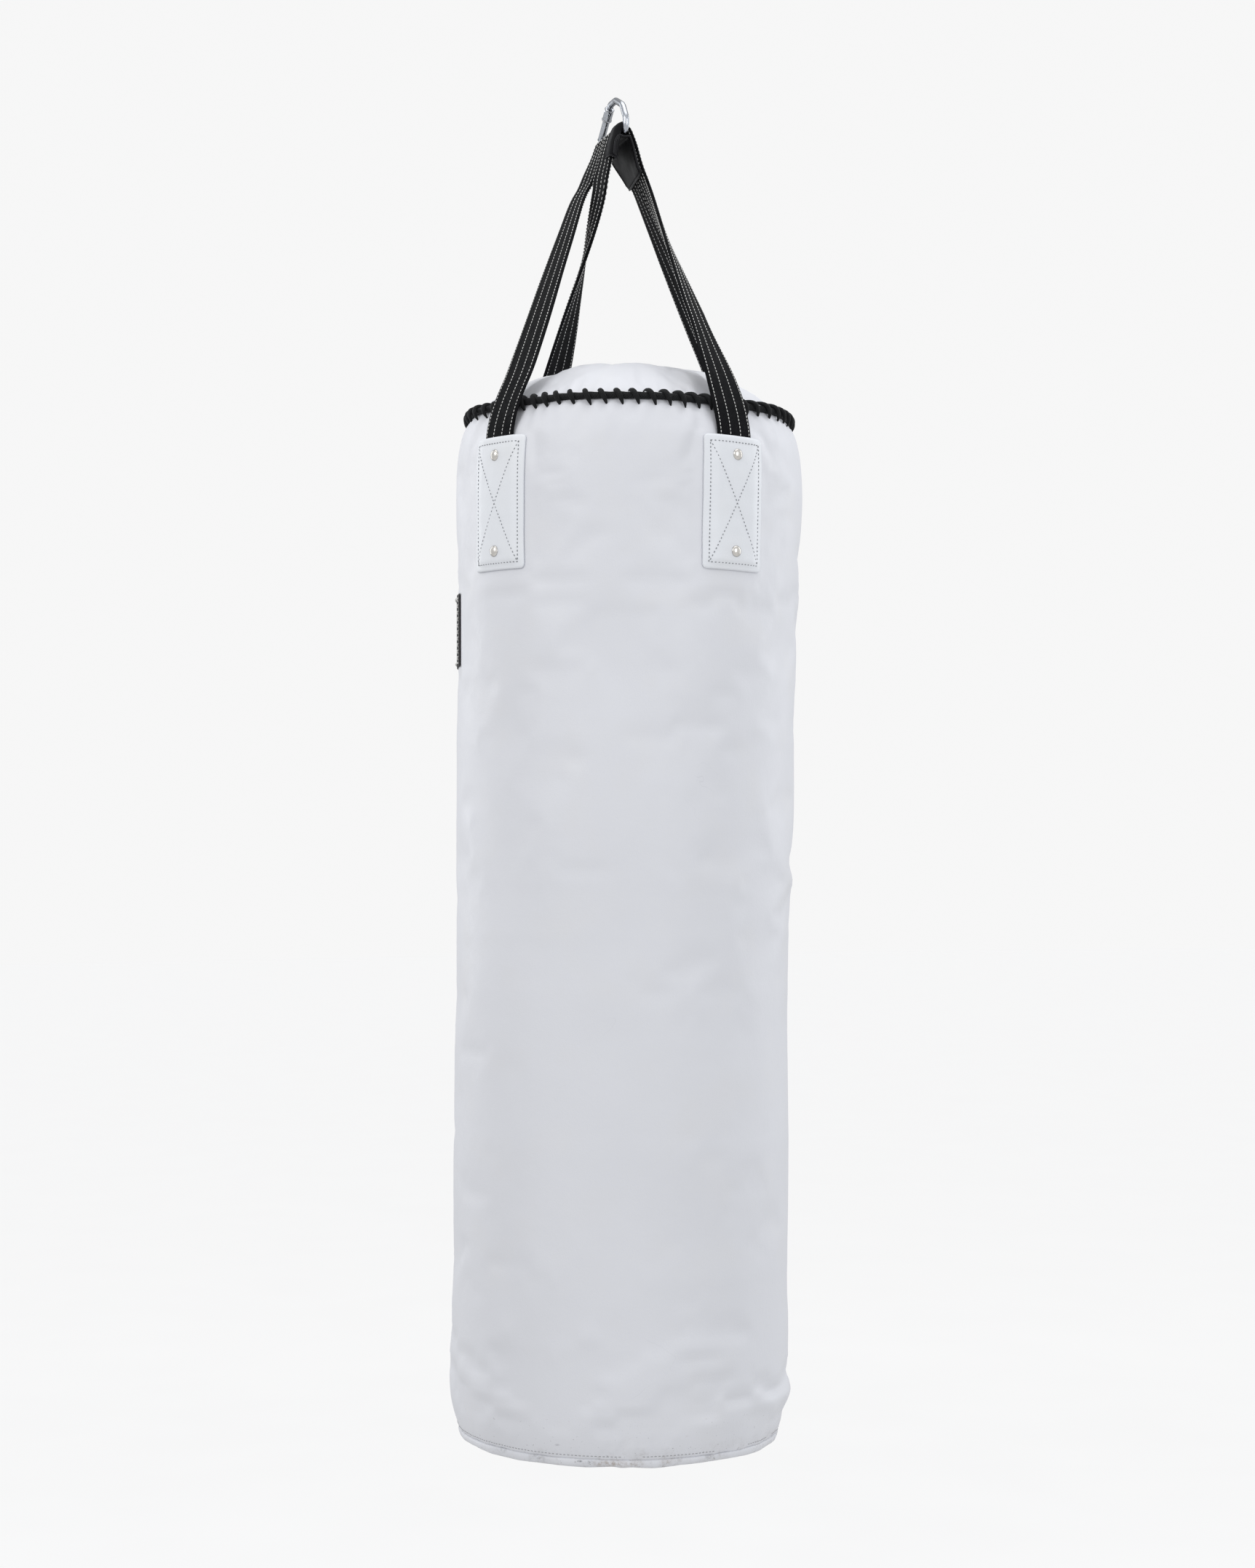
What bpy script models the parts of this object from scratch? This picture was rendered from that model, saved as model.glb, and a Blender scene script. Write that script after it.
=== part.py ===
"""Hanging heavy punch bag with four webbing straps, a leather saddle and a triangular spring hook.

Frame: metres, +Z up. The origin is the inside top of the hook, where it rests on a ceiling eye.
The body's own axis leans a little about +Y, because its left pair of straps is slightly shorter;
its centre of mass still hangs straight below the origin.
Azimuths on the bag are in degrees, counted from -Y (front) towards +X (right).
Legs and sides are keyed f/b for front/back and l/r for left/right.
"""

import math

import bmesh
import bpy
import numpy as np
from mathutils import Matrix, Vector

for old in list(bpy.data.objects):
    bpy.data.objects.remove(old, do_unlink=True)

# ---- bag body, heights along the bag's own axis ----
RIM_Z = -0.357            # laced seam between the top panel and the side wall
SEAM_Z = -1.484           # sewn seam between the side wall and the bottom panel
SHELL_T = 0.0020          # coated fabric shell
CAP_R = 0.1705            # edge of the top panel
LEAN_DEG = 1.4
COM_Z = -0.915            # height of the stuffed body's centre of mass
BAG_SEG = 48
WALL = [                  # (height, outer radius) down the side wall
    (-0.3650, 0.1810), (-0.3780, 0.1866), (-0.4000, 0.1904), (-0.4350, 0.1917),
    (-0.5000, 0.1906), (-0.6500, 0.1886), (-0.8500, 0.1873), (-1.1000, 0.1868),
    (-1.3000, 0.1872), (-1.4200, 0.1882), (-1.4500, 0.1870), (-1.4700, 0.1834),
    (-1.4830, 0.1786),
]

# ---- straps ----
STRAP_T = 0.0040
STRAP_W = 0.0440
STRAP_W_TOP = 0.0380
LEG_AZ = {"fl": -40.5, "fr": 42.6, "bl": -137.5, "br": 140.5}
TAIL_Z = -0.524           # lower end of each strap, under its patch
GAP = 0.0003              # clearance between neighbouring layers

# ---- hook, in its own plane: x along the base bar, z up, y across ----
HOOK_YAW_DEG = 25.0       # the front end of the bar is turned this far to the right of -Y
WIRE_R = 0.0036
HOOK_RISE = 0.0420        # bar centre line to apex centre line
BAR_HALF = 0.0440
BAR_Z = WIRE_R - HOOK_RISE

# ---- frames ----
BAG_MATRIX = (Matrix.Translation((0, 0, COM_Z))
              @ Matrix.Rotation(math.radians(LEAN_DEG), 4, "Y")
              @ Matrix.Translation((0, 0, -COM_Z)))
HOOK_MATRIX = Matrix.Rotation(math.radians(90 + HOOK_YAW_DEG), 4, "Z")
ALONG = HOOK_MATRIX.to_3x3() @ Vector((1, 0, 0))      # along the bar, towards the back
RIGHT = HOOK_MATRIX.to_3x3() @ Vector((0, -1, 0))     # across the bar, towards the right
UP = Vector((0, 0, 1))
BAR = Vector((0, 0, BAR_Z))


# ------------------------------------------------------------------ mesh helpers
def empty(name, matrix):
    holder = bpy.data.objects.new(name, None)
    bpy.context.scene.collection.objects.link(holder)
    holder.matrix_world = matrix
    return holder


def add(name, bm, mat, parent=None, smooth=None):
    """Turns a bmesh into an object; smooth is the angle in degrees above which edges stay sharp."""
    bmesh.ops.recalc_face_normals(bm, faces=bm.faces)
    mesh = bpy.data.meshes.new(name)
    bm.to_mesh(mesh)
    bm.free()
    piece = bpy.data.objects.new(name, mesh)
    bpy.context.scene.collection.objects.link(piece)
    if mat:
        mesh.materials.append(mat)
    if parent:
        piece.parent = parent
    if smooth is not None:
        mesh.shade_smooth()
        mesh.set_sharp_from_angle(angle=math.radians(smooth))
    return piece


def turned(name, profile, seg, mat, parent, smooth=35):
    """Closed ring or solid turned about local Z. The profile is a closed list of (radius, z)."""
    bm = bmesh.new()
    circles = []
    for radius, z in profile:
        if radius < 1e-9:
            circles.append([bm.verts.new((0, 0, z))] * seg)
            continue
        angles = [2 * math.pi * k / seg for k in range(seg)]
        circles.append([bm.verts.new((radius * math.cos(a), radius * math.sin(a), z))
                        for a in angles])
    for k in range(seg):
        m = (k + 1) % seg
        for i, circle in enumerate(circles):
            following = circles[(i + 1) % len(circles)]
            # corners that coincide on the axis are used once
            corners = list(dict.fromkeys((circle[k], circle[m], following[m], following[k])))
            if len(corners) > 2:
                bm.faces.new(corners)
    return add(name, bm, mat, parent, smooth)


def swept(name, rings, mat, parent=None, closed=False, smooth=40):
    """Solid through a list of rings; the ends are capped unless the sweep closes on itself."""
    bm = bmesh.new()
    made = [[bm.verts.new(point) for point in ring] for ring in rings]
    pairs = list(zip(made, made[1:]))
    if closed:
        pairs.append((made[-1], made[0]))
    for lower, upper in pairs:
        for i in range(len(lower)):
            j = (i + 1) % len(lower)
            bm.faces.new((lower[i], lower[j], upper[j], upper[i]))
    if not closed:
        bm.faces.new(list(reversed(made[0])))
        bm.faces.new(made[-1])
    return add(name, bm, mat, parent, smooth)


def sheet(name, rows, thickness, mat, parent=None):
    """Thin solid whose middle surface is a grid of points."""
    bm = bmesh.new()
    made = [[bm.verts.new(point) for point in row] for row in rows]
    for upper, lower in zip(made, made[1:]):
        for i in range(len(upper) - 1):
            bm.faces.new((upper[i], upper[i + 1], lower[i + 1], lower[i]))
    piece = add(name, bm, mat, parent, smooth=50)
    solidify = piece.modifiers.new("thickness", "SOLIDIFY")
    solidify.thickness = thickness
    solidify.offset = 0.0
    solidify.use_even_offset = True
    solidify.use_rim = True
    return piece


def ring_points(centre, side, up, radius, count, phase=0.0):
    """Points round a centre, in the plane of side and up; phase is in steps."""
    angles = [2 * math.pi * (k + phase) / count for k in range(count)]
    return [centre + radius * (math.cos(a) * side + math.sin(a) * up) for a in angles]


def coil_ring(k, point_at, axis_at, radius, count):
    """Section of a wound wire at step k, square to the wire's own path."""
    point = point_at(k)
    forward = (point_at(k + 1) - point_at(k - 1)).normalized()
    outward = point - axis_at(k)
    outward = (outward - outward.dot(forward) * forward).normalized()
    return ring_points(point, outward, forward.cross(outward), radius, count)


def rod(name, start, end, radius, sides, mat=None):
    """Straight cylinder between two points."""
    forward = (end - start).normalized()
    side = forward.orthogonal().normalized()
    up = forward.cross(side)
    rings = [ring_points(centre, side, up, radius, sides, 0.5) for centre in (start, end)]
    return swept(name, rings, mat)


def block(name, centre, axes, half_sizes):
    """Box cutter with its own axes."""
    bm = bmesh.new()
    bmesh.ops.create_cube(bm, size=2.0)
    columns = [axis * half for axis, half in zip(axes, half_sizes)]
    matrix = Matrix(columns).transposed().to_4x4()
    matrix.translation = centre
    bmesh.ops.transform(bm, matrix=matrix, verts=bm.verts)
    return add(name, bm, None)


def cut(piece, cutter):
    boolean = piece.modifiers.new("cut_" + cutter.name, "BOOLEAN")
    boolean.operation = "DIFFERENCE"
    boolean.object = cutter
    boolean.solver = "EXACT"
    cutter.hide_render = True
    cutter.display_type = "WIRE"


def hang_from(pivot, *pieces):
    """Parents pieces to an empty on their joint's axis without moving them."""
    bpy.context.view_layer.update()
    for piece in pieces:
        world = piece.matrix_world.copy()
        piece.parent = pivot
        piece.matrix_parent_inverse = pivot.matrix_world.inverted()
        piece.matrix_world = world


def ramp(start, end, x):
    """0 before start, 1 after end, straight between."""
    return min(1.0, max(0.0, (x - start) / (end - start)))


def smoothstep(start, end, x):
    t = ramp(start, end, x)
    return t * t * (3 - 2 * t)


# ------------------------------------------------------------------ places on the bag
def wall_radius(z):
    """Outer radius of the side wall at a height on the bag's axis."""
    return float(np.interp(-z, [-height for height, _ in WALL], [radius for _, radius in WALL]))


def radial(azimuth):
    a = math.radians(azimuth)
    return Vector((math.sin(a), -math.cos(a), 0.0))


def bag_point(azimuth, radius, z):
    """Point in the bag's own frame."""
    return radial(azimuth) * radius + UP * z


def wall_point(azimuth, width, z, offset):
    """Bag-frame point off the wall, width metres round the curve from an azimuth."""
    radius = wall_radius(z)
    return bag_point(azimuth + math.degrees(width / radius), radius + offset, z)


PRESS = 0.0078                  # how far each taut strap presses the soft rim inwards
PRESS_AROUND = (9.5, 26.0)      # degrees from a strap over which the press fades
PRESS_DOWN = (0.360, 0.399)     # depths over which it fades down the wall
PRESS_TOP_R = 0.085             # radius on the top panel where it starts


def pressed(point):
    """Moves a point of the rim inwards where a strap crosses it."""
    x, y, z = point
    radius = math.hypot(x, y)
    if radius < 1e-6:
        return point
    azimuth = math.degrees(math.atan2(x, -y))
    near = min(abs((azimuth - leg + 180) % 360 - 180) for leg in LEG_AZ.values())
    around = 1 - smoothstep(*PRESS_AROUND, near)
    if z < RIM_Z:
        along = 1 - smoothstep(*PRESS_DOWN, -z)
    else:
        along = smoothstep(PRESS_TOP_R, CAP_R, radius)
    scale = 1 - PRESS * around * along / radius
    return Vector((x * scale, y * scale, z))


def press_in(piece):
    for vertex in piece.data.vertices:
        vertex.co = pressed(vertex.co)


# ------------------------------------------------------------------ materials
def material(name, colour, roughness, metallic=0.0):
    made = bpy.data.materials.new(name)
    made.use_nodes = True
    shader = made.node_tree.nodes["Principled BSDF"]
    shader.inputs["Base Color"].default_value = (*colour, 1.0)
    shader.inputs["Roughness"].default_value = roughness
    shader.inputs["Metallic"].default_value = metallic
    made.diffuse_color = (*colour, 1.0)
    return made


white_shell = material("white_shell", colour=(0.78, 0.79, 0.82), roughness=0.48)
white_leather = material("white_leather", colour=(0.80, 0.81, 0.83), roughness=0.50)
webbing = material("webbing", colour=(0.018, 0.019, 0.022), roughness=0.85)
lace_black = material("lace_black", colour=(0.015, 0.016, 0.018), roughness=0.55)
leather_black = material("leather_black", colour=(0.020, 0.020, 0.024), roughness=0.42)
zinc = material("zinc", colour=(0.70, 0.72, 0.75), roughness=0.22, metallic=1.0)
spring_steel = material("spring_steel", colour=(0.55, 0.56, 0.58), roughness=0.30, metallic=1.0)
nickel = material("nickel", colour=(0.78, 0.77, 0.75), roughness=0.20, metallic=1.0)
label_black = material("label_black", colour=(0.012, 0.012, 0.014), roughness=0.45)
foam = material("foam", colour=(0.62, 0.63, 0.60), roughness=0.95)
textile = material("textile", colour=(0.45, 0.44, 0.42), roughness=0.95)

# ------------------------------------------------------------------ bag body
WALL_OUTER_ONLY = (-0.8500, -1.3000, -1.4700)    # wall heights with no point on the inner face

DOME_H = 0.055            # rise of the stuffed top panel
DOME_R = 0.1745           # radius at which the dome's curve comes down to its foot
DOME_FOOT_Z = RIM_Z + 0.0015
DOME_POWER = 3.2
CAP_RADII = (0.0, 0.070, 0.110, 0.138, 0.158, CAP_R)
CAP_INNER_RADII = (CAP_R, 0.138, 0.110, 0.0)
CAP_T = SHELL_T * 1.05

PANEL_R = 0.1762
PANEL = [                 # (radius, height above SEAM_Z)
    (0.0, -0.0065), (0.110, -0.0058), (0.160, -0.0036), (PANEL_R, -0.0011),
    (PANEL_R, 0.0001), (0.160, -0.0016), (0.110, -0.0038), (0.0, -0.0045),
]
WELT = [                  # (radius, height above SEAM_Z)
    (0.1788, 0.0004), (0.1786, -0.0045), (0.1762, -0.0092), (0.1738, -0.0090),
    (0.1764, -0.0016),
]

LINER_GAP = 0.0034        # clearance inside the shell
LINER_SEG = 40
LINER_Z = (-0.440, -0.650, -1.100, -1.300)
# the rest of the liner's section and the other fillings, as (radius, height)
LINER_REST = [(0.1800, -1.4360), (0.1620, -1.4360), (0.1660, -0.900), (0.1620, -0.440)]
BASE_PAD = [(0.0, -1.4400), (0.168, -1.4400), (0.1700, -1.4600), (0.1640, -1.4780),
            (0.0, -1.4840)]
FILL = [(0.0, -0.3660), (0.140, -0.3720), (0.1580, -0.3950), (0.1640, -0.900),
        (0.1600, -1.4360), (0.0, -1.4380)]
TOP_PAD = [(0.0, -0.3120), (0.080, -0.3180), (0.120, -0.3290), (0.146, -0.3480),
           (0.1460, -0.3640), (0.0, -0.3600)]


def build_wall(bag):
    outer = [(radius, z) for z, radius in WALL]
    inner = [(radius - SHELL_T, z) for z, radius in reversed(WALL) if z not in WALL_OUTER_ONLY]
    wall = turned("shell_wall", outer + inner, BAG_SEG, white_shell, bag)
    press_in(wall)
    return wall


def dome(radius):
    return DOME_FOOT_Z + DOME_H * (1 - (radius / DOME_R) ** DOME_POWER)


def build_top_cap(bag):
    outer = [(radius, dome(radius)) for radius in CAP_RADII]
    inner = [(radius, dome(radius) - CAP_T) for radius in CAP_INNER_RADII]
    press_in(turned("top_cap", outer + inner, BAG_SEG, white_shell, bag))


def build_bottom(bag):
    for name, section in (("bottom_panel", PANEL), ("bottom_welt", WELT)):
        profile = [(radius, SEAM_Z + rise) for radius, rise in section]
        turned(name, profile, BAG_SEG, white_shell, bag)


def build_filling(bag):
    liner = [(wall_radius(z) - SHELL_T - LINER_GAP, z) for z in LINER_Z] + LINER_REST
    turned("foam_liner", liner, LINER_SEG, foam, bag)
    turned("base_pad", BASE_PAD, BAG_SEG, foam, bag)
    turned("textile_fill", FILL, BAG_SEG, textile, bag)
    turned("top_pad", TOP_PAD, BAG_SEG, foam, bag)


# ------------------------------------------------------------------ lacing round the rim
LACE_R = 0.1775
LACE_Z = RIM_Z + 0.0005
LACE_PRESS_Z = RIM_Z - 0.001    # just under the rim, so the lacing takes the wall's full press
CORE_RAD = 0.0026
CORE_SEG, CORE_SIDES = 72, 5
CORD_RAD = 0.0013
CORD_SIDES = 3
CORD_PITCHES = 48
CORD_PER_PITCH = 5
CORD_STEPS = CORD_PITCHES * CORD_PER_PITCH
CORD_COIL_R = CORE_RAD + CORD_RAD + 0.0014


def around(angle):
    return Vector((math.cos(angle), math.sin(angle), 0))


def rim_centre(angle):
    point = pressed(around(angle) * LACE_R + UP * LACE_PRESS_Z)
    return Vector((point.x, point.y, LACE_Z))


def cord_axis(k):
    return rim_centre(2 * math.pi * k / CORD_STEPS)


def cord_point(k):
    out = around(2 * math.pi * k / CORD_STEPS)
    wind = 2 * math.pi * k / CORD_PER_PITCH
    return cord_axis(k) + CORD_COIL_R * (out * math.cos(wind) + UP * math.sin(wind))


def build_lacing(bag):
    """A core cord laid along the seam and one thin cord wound round it."""
    core = []
    for k in range(CORE_SEG):
        angle = 2 * math.pi * k / CORE_SEG
        core.append(ring_points(rim_centre(angle), around(angle), UP, CORE_RAD, CORE_SIDES))
    swept("lace_core", core, lace_black, bag, closed=True)
    cord = [coil_ring(k, cord_point, cord_axis, CORD_RAD, CORD_SIDES) for k in range(CORD_STEPS)]
    swept("lace_cord", cord, lace_black, bag, closed=True)


# ------------------------------------------------------------------ straps
FOLD_R = 0.0090           # centre line of the strap round the bar
FOLD_DROP = 0.0024        # centre of the fold below the bar's centre line
FOLD_STEPS = 10
FOLD_SHIFT = STRAP_W_TOP / 2 + 0.0005    # each strap's centre from the middle of the bar
SIDE_SIGN = {"l": -1.0, "r": 1.0}
LEG_SLOPE = {"l": 19.0, "r": 23.0}       # degrees from vertical beside the saddle
HEM_TURN = {"l": 8.0, "r": -9.0}         # degrees each half of the saddle is turned about Z at its hem
TURN_START = 0.006                       # depth below the bar where that turn starts
SADDLE_LEN = 0.0500

# centre line of a leg from the tail up, in the bag's frame
WALL_CONTROL_Z = (TAIL_Z, -0.500, -0.470, -0.440, -0.418, -0.402)
WALL_CONTROL_OFFSET = GAP + STRAP_T / 2 + 0.0005
RIM_CONTROLS = (          # (height, radius)
    (-0.388, 0.1909), (-0.373, 0.1865), (-0.357, 0.1803), (-0.340, 0.1722), (-0.322, 0.1630),
)
# below the hem the outer strap of the left pair stays outside the inner one
# until they have passed each other
FLARE = {"fl": 0.0050, "bl": -0.0035, "fr": 0.0, "br": 0.0}
FLARE_BELOW_HEM = 0.020
HEM_CONTROL_BELOW = 0.004
ROUNDINGS = 3
STRAP_STEP = 0.021

# depths below the origin over which a strap changes
HEM_TURN_DEPTHS = (0.045, 0.088)
TWIST_TOP = 0.088
WIDEN_DEPTHS = (0.10, 0.17)
WRAP_DEPTHS = (0.350, 0.395)
WRAP_R = 0.192            # radius the strap's width curves to on the wall
STRAP_COLUMNS = 5


def spin(vector, degrees):
    return Matrix.Rotation(math.radians(degrees), 3, "Z") @ vector


def down_slope(side, length, radius=FOLD_R):
    """(across, up) from the bar, length metres down the slope that leaves an arc of this radius."""
    slope = math.radians(LEG_SLOPE[side])
    across = SIDE_SIGN[side] * (radius * math.cos(slope) + length * math.sin(slope))
    return across, radius * math.sin(slope) - FOLD_DROP - length * math.cos(slope)


def beside_bar(side, across, up, shift):
    """Point beside the bar; each horizontal slice is turned a little more towards the hem."""
    hem_up = down_slope(side, SADDLE_LEN)[1]
    turn = HEM_TURN[side] * smoothstep(TURN_START, -hem_up, -up)
    return BAR + spin(RIGHT * across + ALONG * shift, turn) + UP * up


def leg_controls(leg, shift):
    """Centre-line control points from the tail under the patch up to the fold."""
    azimuth = LEG_AZ[leg]
    side = leg[1]

    def down(length):
        return beside_bar(side, *down_slope(side, length), shift)

    points = [BAG_MATRIX @ bag_point(azimuth, wall_radius(z) + WALL_CONTROL_OFFSET, z)
              for z in WALL_CONTROL_Z]
    points += [BAG_MATRIX @ bag_point(azimuth, radius, z) for z, radius in RIM_CONTROLS]
    rim = points[-1]
    below = down(SADDLE_LEN + FLARE_BELOW_HEM) + SIDE_SIGN[side] * RIGHT * FLARE[leg]
    points += [rim.lerp(below, part) for part in (0.2, 0.4, 0.6, 0.8)]
    points += [below, down(SADDLE_LEN + HEM_CONTROL_BELOW)]
    points += [down(SADDLE_LEN * part) for part in (0.75, 0.5, 0.25, 0.0)]
    return points


def chaikin(points, rounds):
    """Rounds a path by cutting its corners at a quarter of each side."""
    for _ in range(rounds):
        smoother = [points[0]]
        for start, end in zip(points, points[1:]):
            smoother += [start.lerp(end, 0.25), start.lerp(end, 0.75)]
        smoother.append(points[-1])
        points = smoother
    return points


def resample(points, step):
    """Evenly spaced points along a path, about step apart."""
    travelled = [0.0]
    for start, end in zip(points, points[1:]):
        travelled.append(travelled[-1] + (end - start).length)
    count = max(2, round(travelled[-1] / step))
    even, i = [], 0
    for k in range(count + 1):
        distance = travelled[-1] * k / count
        while i < len(points) - 2 and travelled[i + 1] < distance:
            i += 1
        span = travelled[i + 1] - travelled[i]
        part = (distance - travelled[i]) / span if span else 0
        even.append(points[i].lerp(points[i + 1], part))
    return even


def leg_line(leg, shift):
    return resample(chaikin(leg_controls(leg, shift), ROUNDINGS), STRAP_STEP)


def fold_line(shift):
    """Centre line over the bar, from left to right."""
    first, last = LEG_SLOPE["l"] - 90, 90 - LEG_SLOPE["r"]
    points = []
    for k in range(1, FOLD_STEPS):
        angle = math.radians(first + (last - first) * k / FOLD_STEPS)
        points.append(BAR + ALONG * shift + RIGHT * FOLD_R * math.sin(angle)
                      + UP * (FOLD_R * math.cos(angle) - FOLD_DROP))
    return points


def twist_share(leg, depth):
    """Share of a leg's whole twist reached at a depth."""
    if leg == "fl":
        return smoothstep(TWIST_TOP, 0.335, depth)
    if leg == "bl":
        return 0.4 * smoothstep(TWIST_TOP, 0.335, depth) + 0.6 * ramp(TWIST_TOP, 0.365, depth)
    return 0.55 * ramp(TWIST_TOP, 0.248, depth) + 0.45 * smoothstep(0.248, 0.370, depth)


def width_turn(leg, depth):
    """Degrees about Z from the bar's direction to the strap's width."""
    foot = LEG_AZ[leg] + (180 if leg[1] == "l" else 0)
    full = (foot - (90 + HOOK_YAW_DEG) + 180) % 360 - 180
    hem = HEM_TURN[leg[1]] * smoothstep(*HEM_TURN_DEPTHS, depth)
    return hem + (full - hem) * twist_share(leg, depth)


def build_strap(left, right, shift):
    """Strap from the left foot over the bar to the right foot."""
    rising, fold, falling = leg_line(left, shift), fold_line(shift), leg_line(right, shift)
    points = rising + fold + falling[::-1]
    middle = len(rising) + len(fold) / 2
    rows = []
    for i, point in enumerate(points):
        after = points[min(i + 1, len(points) - 1)]
        forward = (after - points[max(i - 1, 0)]).normalized()
        depth = -point.z
        across = spin(ALONG, width_turn(left if i < middle else right, depth))
        across = (across - across.dot(forward) * forward).normalized()
        normal = forward.cross(across)
        width = STRAP_W_TOP + (STRAP_W - STRAP_W_TOP) * smoothstep(*WIDEN_DEPTHS, depth)
        wrap = smoothstep(*WRAP_DEPTHS, depth)
        row = []
        for column in range(STRAP_COLUMNS):
            x = (column / (STRAP_COLUMNS - 1) - 0.5) * width
            row.append(point + across * x - normal * wrap * x * x / (2 * WRAP_R))
        rows.append(row)
    return sheet(f"strap_{left}_{right}", rows, STRAP_T, webbing)


# ------------------------------------------------------------------ saddle under the bar
SADDLE_REACH = {"l": 0.62, "r": 1.0}     # share of SADDLE_LEN each half really has
SADDLE_HALF = 0.0395                     # half its width along the bar
SADDLE_T = 0.0018
SADDLE_INSET = STRAP_T / 2 + GAP + 0.0012 + SADDLE_T / 2    # in from the straps' centre line
SADDLE_START = 0.0050                    # where each half starts down the slope
SADDLE_STATIONS = (0.0120, 0.0220, 0.0330, 0.0440, SADDLE_LEN)
SADDLE_DIP = WIRE_R + 0.0008 + SADDLE_T / 2
SADDLE_MIDDLE = [         # (across, up) under the bar
    (-0.0030, -SADDLE_DIP - 0.0001), (0.0, -SADDLE_DIP - 0.0003), (0.0030, -SADDLE_DIP - 0.0001),
]
SADDLE_COLUMNS = 5


def saddle_side(side):
    """(across, up) points down one half of the saddle, just inside the straps."""
    lengths = [SADDLE_START] + [length * SADDLE_REACH[side] for length in SADDLE_STATIONS]
    return [down_slope(side, length, FOLD_R - SADDLE_INSET) for length in lengths]


def build_saddle():
    rows = []
    for across, up in saddle_side("l")[::-1] + SADDLE_MIDDLE + saddle_side("r"):
        side = "l" if across < 0 else "r"
        rows.append([beside_bar(side, across, up, SADDLE_HALF * (k / (SADDLE_COLUMNS - 1) * 2 - 1))
                     for k in range(SADDLE_COLUMNS)])
    return sheet("saddle", rows, SADDLE_T, leather_black)


# ------------------------------------------------------------------ patches and rivets
PATCH_W = 0.0780
PATCH_T = 0.0018
PATCH_SEAT = GAP + 0.0002                # wall to the patch's inner face
PATCH_LIFT = STRAP_T + 0.0011            # extra height where the patch covers the strap
PATCH_Z = (-0.3950, -0.4000, -0.4350, -0.4700, -0.5000, TAIL_Z - 0.0020, TAIL_Z - 0.0085, -0.5380)
PATCH_PARTS = (-1, -0.84, -0.61, -0.32, 0, 0.32, 0.61, 0.84, 1)    # shares of half the width
LIFT_FADE_SIDE = (0.0245, 0.0325)        # distances from the centre line
LIFT_FADE_TAIL = (0.0035, 0.0100)        # distances below the strap's tail

RIVET_Z = (-0.4150, -0.5180)
RIVET_SIDES = 12
RIVET_HEAD_R = 0.0050
RIVET_SHANK_R = 0.0021
RIVET_SEAT = PATCH_SEAT + PATCH_T + PATCH_LIFT + GAP
RIVET_END = -SHELL_T - 0.0024
RIVET = [                 # (radius, distance out from the wall)
    (0.0, RIVET_SEAT + 0.0024), (0.0020, RIVET_SEAT + 0.0023), (0.0038, RIVET_SEAT + 0.0016),
    (RIVET_HEAD_R, RIVET_SEAT + 0.0004), (RIVET_HEAD_R, RIVET_SEAT),
    (RIVET_SHANK_R, RIVET_SEAT), (RIVET_SHANK_R, RIVET_END), (0.0, RIVET_END),
]
WASHER = [                # (radius, distance out from the wall)
    (0.0025, -SHELL_T - 0.0012), (0.0050, -SHELL_T - 0.0012),
    (0.0050, -SHELL_T - 0.0020), (0.0025, -SHELL_T - 0.0020),
]
HOLE_R = 0.0026
HOLE_SIDES = 10
HOLE_OUT = RIVET_SEAT - GAP + 0.004      # ends of the hole cutter, out from the wall
HOLE_IN = -SHELL_T - 0.004


def build_patch(leg, bag):
    rows = []
    for z in PATCH_Z:
        row = []
        for part in PATCH_PARTS:
            width = part * PATCH_W / 2
            over = ((1 - smoothstep(*LIFT_FADE_SIDE, abs(width)))
                    * (1 - smoothstep(*LIFT_FADE_TAIL, TAIL_Z - z)))
            offset = PATCH_SEAT + PATCH_T / 2 + PATCH_LIFT * over
            row.append(wall_point(LEG_AZ[leg], width, z, offset))
        rows.append(row)
    return sheet("patch_" + leg, rows, PATCH_T, white_leather, bag)


def build_rivet(leg, number, z, bag, layers):
    """Rivet with its inner washer, and its hole through the given layers."""
    azimuth = LEG_AZ[leg]
    radius = wall_radius(z)
    turn = radial(azimuth).to_track_quat("Z", "Y").to_matrix().to_4x4()
    place = Matrix.Translation(bag_point(azimuth, radius, z)) @ turn
    for kind, profile in (("rivet", RIVET), ("washer", WASHER)):
        piece = turned(f"{kind}_{leg}_{number}", profile, RIVET_SIDES, nickel, bag, smooth=30)
        piece.matrix_local = place
    hole = rod(f"hole_{leg}_{number}", BAG_MATRIX @ bag_point(azimuth, radius + HOLE_OUT, z),
               BAG_MATRIX @ bag_point(azimuth, radius + HOLE_IN, z), HOLE_R, HOLE_SIDES)
    for layer in layers:
        cut(layer, hole)


# ------------------------------------------------------------------ label
LABEL_AZ = -90.0
LABEL_W = 0.1340
LABEL_TOP, LABEL_BOTTOM = -0.5550, -0.6360
LABEL_T = 0.0010
LABEL_OFFSET = GAP + 0.0003 + LABEL_T / 2
LABEL_ROWS, LABEL_COLUMNS = 3, 12


def build_label(bag):
    rows = []
    for i in range(LABEL_ROWS + 1):
        z = LABEL_TOP + (LABEL_BOTTOM - LABEL_TOP) * i / LABEL_ROWS
        rows.append([wall_point(LABEL_AZ, (j / LABEL_COLUMNS - 0.5) * LABEL_W, z, LABEL_OFFSET)
                     for j in range(LABEL_COLUMNS + 1)])
    sheet("label", rows, LABEL_T, label_black, bag)


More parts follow.
